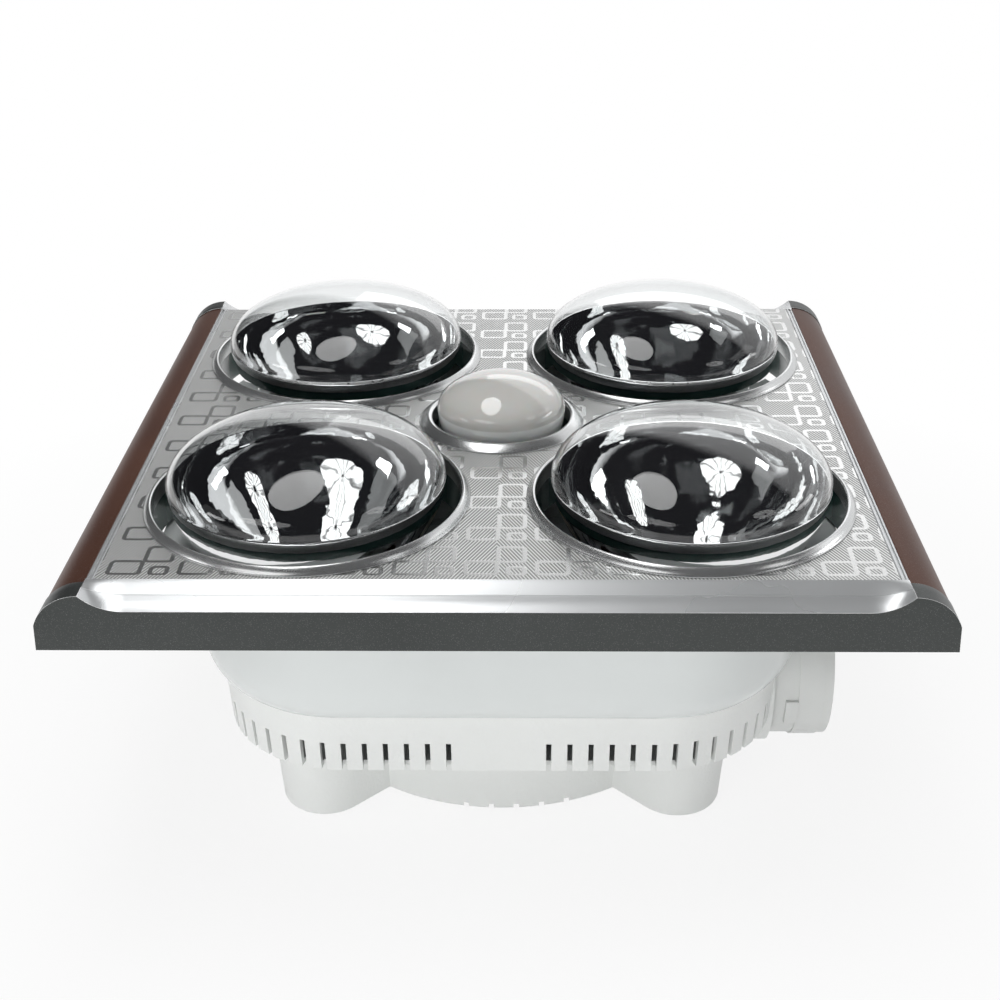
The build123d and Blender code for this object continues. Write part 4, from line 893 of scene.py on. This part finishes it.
SIDES = [(-1, -1), (-1, 1), (1, -1), (1, 1)]
SCREW_LINE, SCREW_STEP, FLANGE_Z, DECK_Z = 108.5, 40, -70.5, -64.5
joint_places = [(x * SCREW_STEP, y * SCREW_LINE, FLANGE_Z) for x, y in SIDES]
joint_places += [(-SCREW_LINE, SCREW_STEP, FLANGE_Z), (-SCREW_LINE, -SCREW_STEP, FLANGE_Z),
    (SCREW_LINE, SCREW_STEP, FLANGE_Z)]
screws("housing_screws_set", "housing_screws", joint_places, 4.7, False)
tray_places = [(x * 70, y * SCREW_LINE, DECK_Z) for x, y in SIDES] + [(-56.9, 0, -63.0), (56.9, 0, -63.0)]
screws("sheet_screws_set", "sheet_screws", tray_places, 3.2, True)
print("screws", len(joint_places) + len(tray_places))

# %% [markdown]
# The impeller is a squirrel cage: thirty short curved blades between a floor and a rim.
# One blade is bent from a small grid and set round a circle, and the turned floor, hub and rim join it.

# %% A tree that sets blades round a hub
# How far a blade bows, in metres for each square metre of its width from the middle.
BLADE_BOW = 55.0
tree, add, given = new_tree("Set blades round a hub", {"Blades": "Int", "Radius": "Float",
    "Height": "Float", "Width": "Float", "Wall": "Float", "Lean": "Float", "Middle": "Vector",
    "Finish": "Material"})
strip = add("MeshGrid", {"Size X": given["Width"], "Size Y": given["Height"], "Vertices X": 7,
    "Vertices Y": 2})
spot = add("InputPosition")
axes = add("SeparateXYZ", {0: spot})
square = add("Math", {0: axes, 1: axes}, "MULTIPLY")
sag = add("Math", {0: square, 1: BLADE_BOW}, "MULTIPLY")
bend = add("CombineXYZ", {0: axes, 1: sag, 2: axes.outputs[1]})
bowed = add("SetPosition", {"Geometry": strip, "Position": bend})
thick = add("ExtrudeMesh", {"Mesh": bowed, "Offset Scale": given["Wall"], "Individual": False})
both = add("JoinGeometry")
turned_back = add("FlipFaces", {0: bowed})
tree.links.new(turned_back.outputs[0], both.inputs[0])
tree.links.new(thick.outputs[0], both.inputs[0])
welded = add("MergeByDistance", {"Geometry": both, "Distance": WELD / 2})
lean = add("CombineXYZ", {2: given["Lean"]})
lean = add("EulerToRotation", {0: lean})
leaned = add("Transform", {"Geometry": welded, "Rotation": lean})
circle = add("MeshCircle", {"Vertices": given["Blades"], "Radius": given["Radius"]})
heading = way_round(add, add("InputIndex"), given["Blades"])
facing = add("CombineXYZ", {2: heading})
facing = add("EulerToRotation", {0: facing})
around = add("InstanceOnPoints", {"Points": circle, "Instance": leaned, "Rotation": facing})
middle_node = add("Transform", {"Geometry": around, "Translation": given["Middle"]})
blade_tree = finish_tree(tree, middle_node, given)
print("blade tree", len(blade_tree.nodes), "nodes")

# %% The impeller
FAN = (-12.0, 22.0)
values = {"Blades": 30, "Radius": 50.4 * MM, "Height": 48.0 * MM, "Width": 7.6 * MM, "Wall": 0.9 * MM,
    "Lean": math.radians(33), "Middle": Vector((*FAN, -105.0)) * MM, "Finish": fan_plastic}
cage = grown("blades", bpy.data.meshes.new("blades"), blade_tree, values)
face_outwards(cage)
shade_by_angle(cage)
hub_section = [(3.05, -92.0), (3.05, -97.2), (7.0, -97.2), (7.0, -93.9), (29.0, -93.9), (30.8, -129.95),
    (54.95, -129.95), (54.95, -128.4), (33.0, -128.4), (31.2, -93.2), (30.0, -92.0)]
rim_section = [(46.05, -81.6), (54.95, -81.6), (54.95, -80.4), (54.6, -80.05), (46.4, -80.05),
    (46.05, -80.4)]
hub = turned("hub", hub_section, fan_plastic, FAN, 96)
rim = turned("rim", rim_section, fan_plastic, FAN, 96)
impeller = joined("impeller_moulded", [cage, hub.data, rim.data])
for helper in (hub, rim):
    bpy.data.objects.remove(helper)
settle(impeller, "impeller", [fan_plastic, fan_plastic, fan_plastic])
print("impeller faces", len(impeller.data.polygons))

# %% [markdown]
# The remaining pieces have their true shape in the solids. They get eased edges and their finishes.
# Small bevels matter on moulded parts, because no mould has a razor edge.

# %% Dress the other pieces
finishes = {"housing_tub": (tub_plastic, 0.0), "housing_base": (base_plastic, 0.0),
    "duct_spigot": (spigot_plastic, 0.3), "reflector_tray": (tray_sheet, 0.0),
    "centre_bridge": (bridge_steel, 0.2), "fan_scroll": (scroll_plastic, 0.0),
    "scroll_cover": (scroll_plastic, 0.0), "fan_motor": (motor_paint, 0.3),
    "motor_shaft": (shaft_steel, 0.2), "impeller_nut": (contact_brass, 0.2),
    "flap_pin": (shaft_steel, 0.1), "flap_front": (fan_plastic, 0.2), "flap_rear": (fan_plastic, 0.2),
    "terminal_box": (box_plastic, 0.3), "terminal_cover": (box_plastic, 0.3),
    "terminal_block": (box_plastic, 0.2), "cable_gland": (nylon_black, 0.3),
    "gland_nut": (nylon_black, 0.3), "fan_capacitor": (capacitor_case, 0.4),
    "thermal_cutout": (phenolic, 0.3), "holder_brass": (contact_brass, 0.0),
    "opal_holder": (holder_ceramic, 0.2), "opal_cap": (cap_metal, 0.0),
    "panel_frame": (frame_plastic, 0.0), "lamp_wells": (well_enamel, 0.0),
    "panel_clips": (spring_steel, 0.1), "clip_screws": (spring_steel, 0.1),
    "face_plate": (plate_sheet, 0.0)}
for place in places:
    finishes["lamp_holder_" + place] = (holder_ceramic, 0.2)
    finishes["lamp_cap_" + place] = (cap_metal, 0.0)
for node, (material, bevel) in finishes.items():
    eased(node, material, bevel)
print("dressed", len(finishes))

# %% [markdown]
# The unit lies on a plain white table. Metal only looks like metal when it has something to mirror,
# so the studio matters as much as the finishes. The table mixes glow with plain white cloth, because
# pure glow would show no shadow.

# %% Table
# The share of glow close to the part; it rises to the whole further out.
NEAR_WHITE = 0.86


def glowing(name):
    """A new material without any nodes, and the function that adds them."""
    material = bpy.data.materials.new(name)
    material.use_nodes = True
    material.node_tree.nodes.clear()
    return material, adder(material.node_tree)


def plain_surface(name, colour, near, far):
    """A pale surface that the eye and mirrors see as white, the more so far from the part; sizes in m."""
    material, add = glowing(name)
    rays = add("LightPath")
    seen = add("Math", {0: rays.outputs["Is Camera Ray"], 1: rays.outputs["Is Glossy Ray"]}, "MAXIMUM")
    seen = add("Math", {0: seen, 1: rays.outputs["Is Transmission Ray"]}, "MAXIMUM")
    place = add("TexCoord")
    away = add("VectorMath", {0: place.outputs["Object"]}, "LENGTH")
    share = add("MapRange", {"Value": away.outputs["Value"], "From Min": near, "From Max": far,
        "To Min": NEAR_WHITE, "To Max": 1.0})
    amount = add("Math", {0: seen, 1: share}, "MULTIPLY")
    cloth = add("BsdfDiffuse", {"Color": srgb(colour)})
    glow = add("Emission", {"Color": (1, 1, 1, 1), "Strength": 1.0})
    mixed = add("MixShader", {0: amount, 1: cloth, 2: glow})
    add("OutputMaterial", {0: mixed})
    return material


TABLE_HALF, TABLE_GAP = 9, 0.0002
floor_mesh = bpy.data.meshes.new("table_top")
floor_z = cad_box[0][2] - TABLE_GAP
corners = [(x * TABLE_HALF, y * TABLE_HALF, floor_z) for x, y in ((-1, -1), (1, -1), (1, 1), (-1, 1))]
floor_mesh.from_pydata(corners, [], [(0, 1, 2, 3)])
floor_mesh.materials.append(plain_surface("white table", "#f2f2f2", 0.24, 0.5))
table = add_piece("table_top", floor_mesh)
print("floor at", round(floor_z, 4))

# %% [markdown]
# The room round the table is bright low down and dark above, like a studio with a black ceiling.
# Behind the part the bright wall reaches higher, so that the flat plate, which mirrors it, looks light.
# It is lower at the left rear and higher at the right, since the real plate is darker on its left.
# The eye itself always sees white there.

# %% Room
REAR_RISE, LEFT_DROP = 0.36, 1.5
BRIGHT_WALL, DARK_CEILING = (0.20, (0.95, 0.95, 0.96, 1)), (0.33, (0.015, 0.015, 0.017, 1))
world = bpy.data.worlds.new("studio")
bpy.context.scene.world = world
world.use_nodes = True
tree = world.node_tree
add = adder(tree)
way = add("TexCoord")
axes = add("SeparateXYZ", {0: way.outputs["Generated"]})
level = add("Math", {0: axes.outputs[1], 1: -REAR_RISE, 2: axes.outputs[2]}, "MULTIPLY_ADD")
behind = add("Math", {0: axes.outputs[1], 1: 0.0}, "MAXIMUM")
aside = add("Math", {0: behind, 1: axes}, "MULTIPLY")
level = add("Math", {0: aside, 1: -LEFT_DROP, 2: level}, "MULTIPLY_ADD")
ramp = add("ValToRGB", {0: level})
for element, (height, light) in zip(ramp.color_ramp.elements, (BRIGHT_WALL, DARK_CEILING)):
    element.position = height
    element.color = light
sight = add("LightPath")
shown = add("Mix", {0: sight.outputs["Is Camera Ray"], 6: ramp, 7: (1, 1, 1, 1)}, data_type="RGBA")
tree.links.new(shown.outputs[2], tree.nodes["Background"].inputs["Color"])
print("room nodes", len(tree.nodes))

# %% [markdown]
# Mirrors show what lights them, so the bowls ask for lights with a shape of their own.
# The ribbed stars in them are studio umbrellas: a disc of lit cloth with dark ribs and a dark hub.
# The glow is worked out from the angle round the hub, so a flat disc of few corners is enough.

# %% Umbrellas
RIB_START, RIB_GLOW, HUB_START, HUB_END = 0.05, 0.15, 0.02, 0.05


def umbrella(name, place, radius, ribs, strength, rib_share, height_share=1.0):
    """A lit umbrella with dark ribs that faces the part; metres."""
    disc = bpy.data.meshes.new(name)
    turns = [2 * math.pi * rib / ribs for rib in range(ribs)]
    corners = [(radius * math.cos(turn), height_share * radius * math.sin(turn), 0) for turn in turns]
    disc.from_pydata(corners, [], [tuple(range(ribs))])
    material, add = glowing(name)
    place_node = add("TexCoord")
    axes = add("SeparateXYZ", {0: place_node.outputs["Object"]})
    turn = add("Math", {0: axes.outputs[1], 1: axes.outputs[0]}, "ARCTAN2")
    turn = add("Math", {0: turn, 1: ribs / 2}, "MULTIPLY")
    wave = add("Math", {0: turn}, "SINE")
    wave = add("Math", {0: wave}, "ABSOLUTE")
    cloth = add("MapRange", {"Value": wave, "From Min": RIB_START, "From Max": rib_share,
        "To Min": RIB_GLOW})
    far = add("VectorMath", {0: place_node.outputs["Object"]}, "LENGTH")
    pole = add("MapRange", {"Value": far.outputs["Value"], "From Min": HUB_START, "From Max": HUB_END})
    power = add("Math", {0: cloth, 1: pole}, "MULTIPLY")
    power = add("Math", {0: power, 1: strength}, "MULTIPLY")
    glow = add("Emission", {"Color": (1, 1, 1, 1), "Strength": power})
    add("OutputMaterial", {0: glow})
    disc.materials.append(material)
    shown = add_piece(name, disc)
    shown.location = place
    shown.rotation_euler = (-Vector(place)).to_track_quat("Z", "Y").to_euler()
    shown.visible_camera = shown.visible_shadow = False


umbrella("left umbrella", (-0.60, -0.95, 0.78), 0.46, 10, 1.9, 0.4, 0.42)
umbrella("right umbrella", (0.88, -0.46, 0.74), 0.17, 16, 2.0, 0.9)

# %% [markdown]
# The softbox overhead shows in the bowls as a pale patch. Strips and boards at the sides draw bright
# bands along them, and a board behind brightens the plate.
# Four fill lights only lift the shadows: mirrors and glass don't see them, or every bowl would go white.

# %% Softboxes, strips and boards
def soft_light(name, place, aim, size, power, shape="RECTANGLE", mirrored=True):
    """A softbox that points at a place; metres and watts."""
    data = bpy.data.lights.new(name, "AREA")
    data.shape = shape
    data.size, data.size_y = size
    data.energy = power
    lamp = add_piece(name, data)
    lamp.location = place
    lamp.rotation_euler = (Vector(aim) - Vector(place)).to_track_quat("-Z", "Y").to_euler()
    lamp.visible_camera = False
    lamp.visible_glossy = lamp.visible_transmission = mirrored


PART = (0, 0, 0)
soft_light("overhead softbox", (-0.22, 0.03, 1.15), PART, (1.0, 0.42), 3.9, "ELLIPSE")
soft_light("left strip", (-1.15, -0.46, 0.43), PART, (0.35, 0.12), 0.5)
soft_light("right strip", (1.2, 0.06, 0.38), PART, (0.5, 0.12), 0.6)
soft_light("right board", (1.15, 0.15, 0.72), PART, (0.7, 0.25), 0.27)
soft_light("left board", (-1.2, -0.32, 0.58), PART, (0.5, 0.3), 0.11)
soft_light("rear board", (0.32, 1.2, 0.58), PART, (1.0, 0.26), 0.8)
soft_light("overhead fill", (0.1, 0.1, 1.2), PART, (0.8, 0.8), 5.0, mirrored=False)
soft_light("left fill", (-1.1, -0.3, 0.6), PART, (0.5, 0.5), 2.4, mirrored=False)
soft_light("front fill", (-0.6, -1.2, 0.25), (0, 0, -0.08), (1.2, 0.5), 2.9, mirrored=False)
soft_light("low fill", (0.0, -0.9, -0.05), (0, 0, -0.12), (0.8, 0.12), 2.2, mirrored=False)
print("soft lights", len(bpy.data.lights))

# %% [markdown]
# Last, the box round the solids is printed; dressing must not make the part grow past it.

# %% Print the box of the solids
print("solids", cad_box)
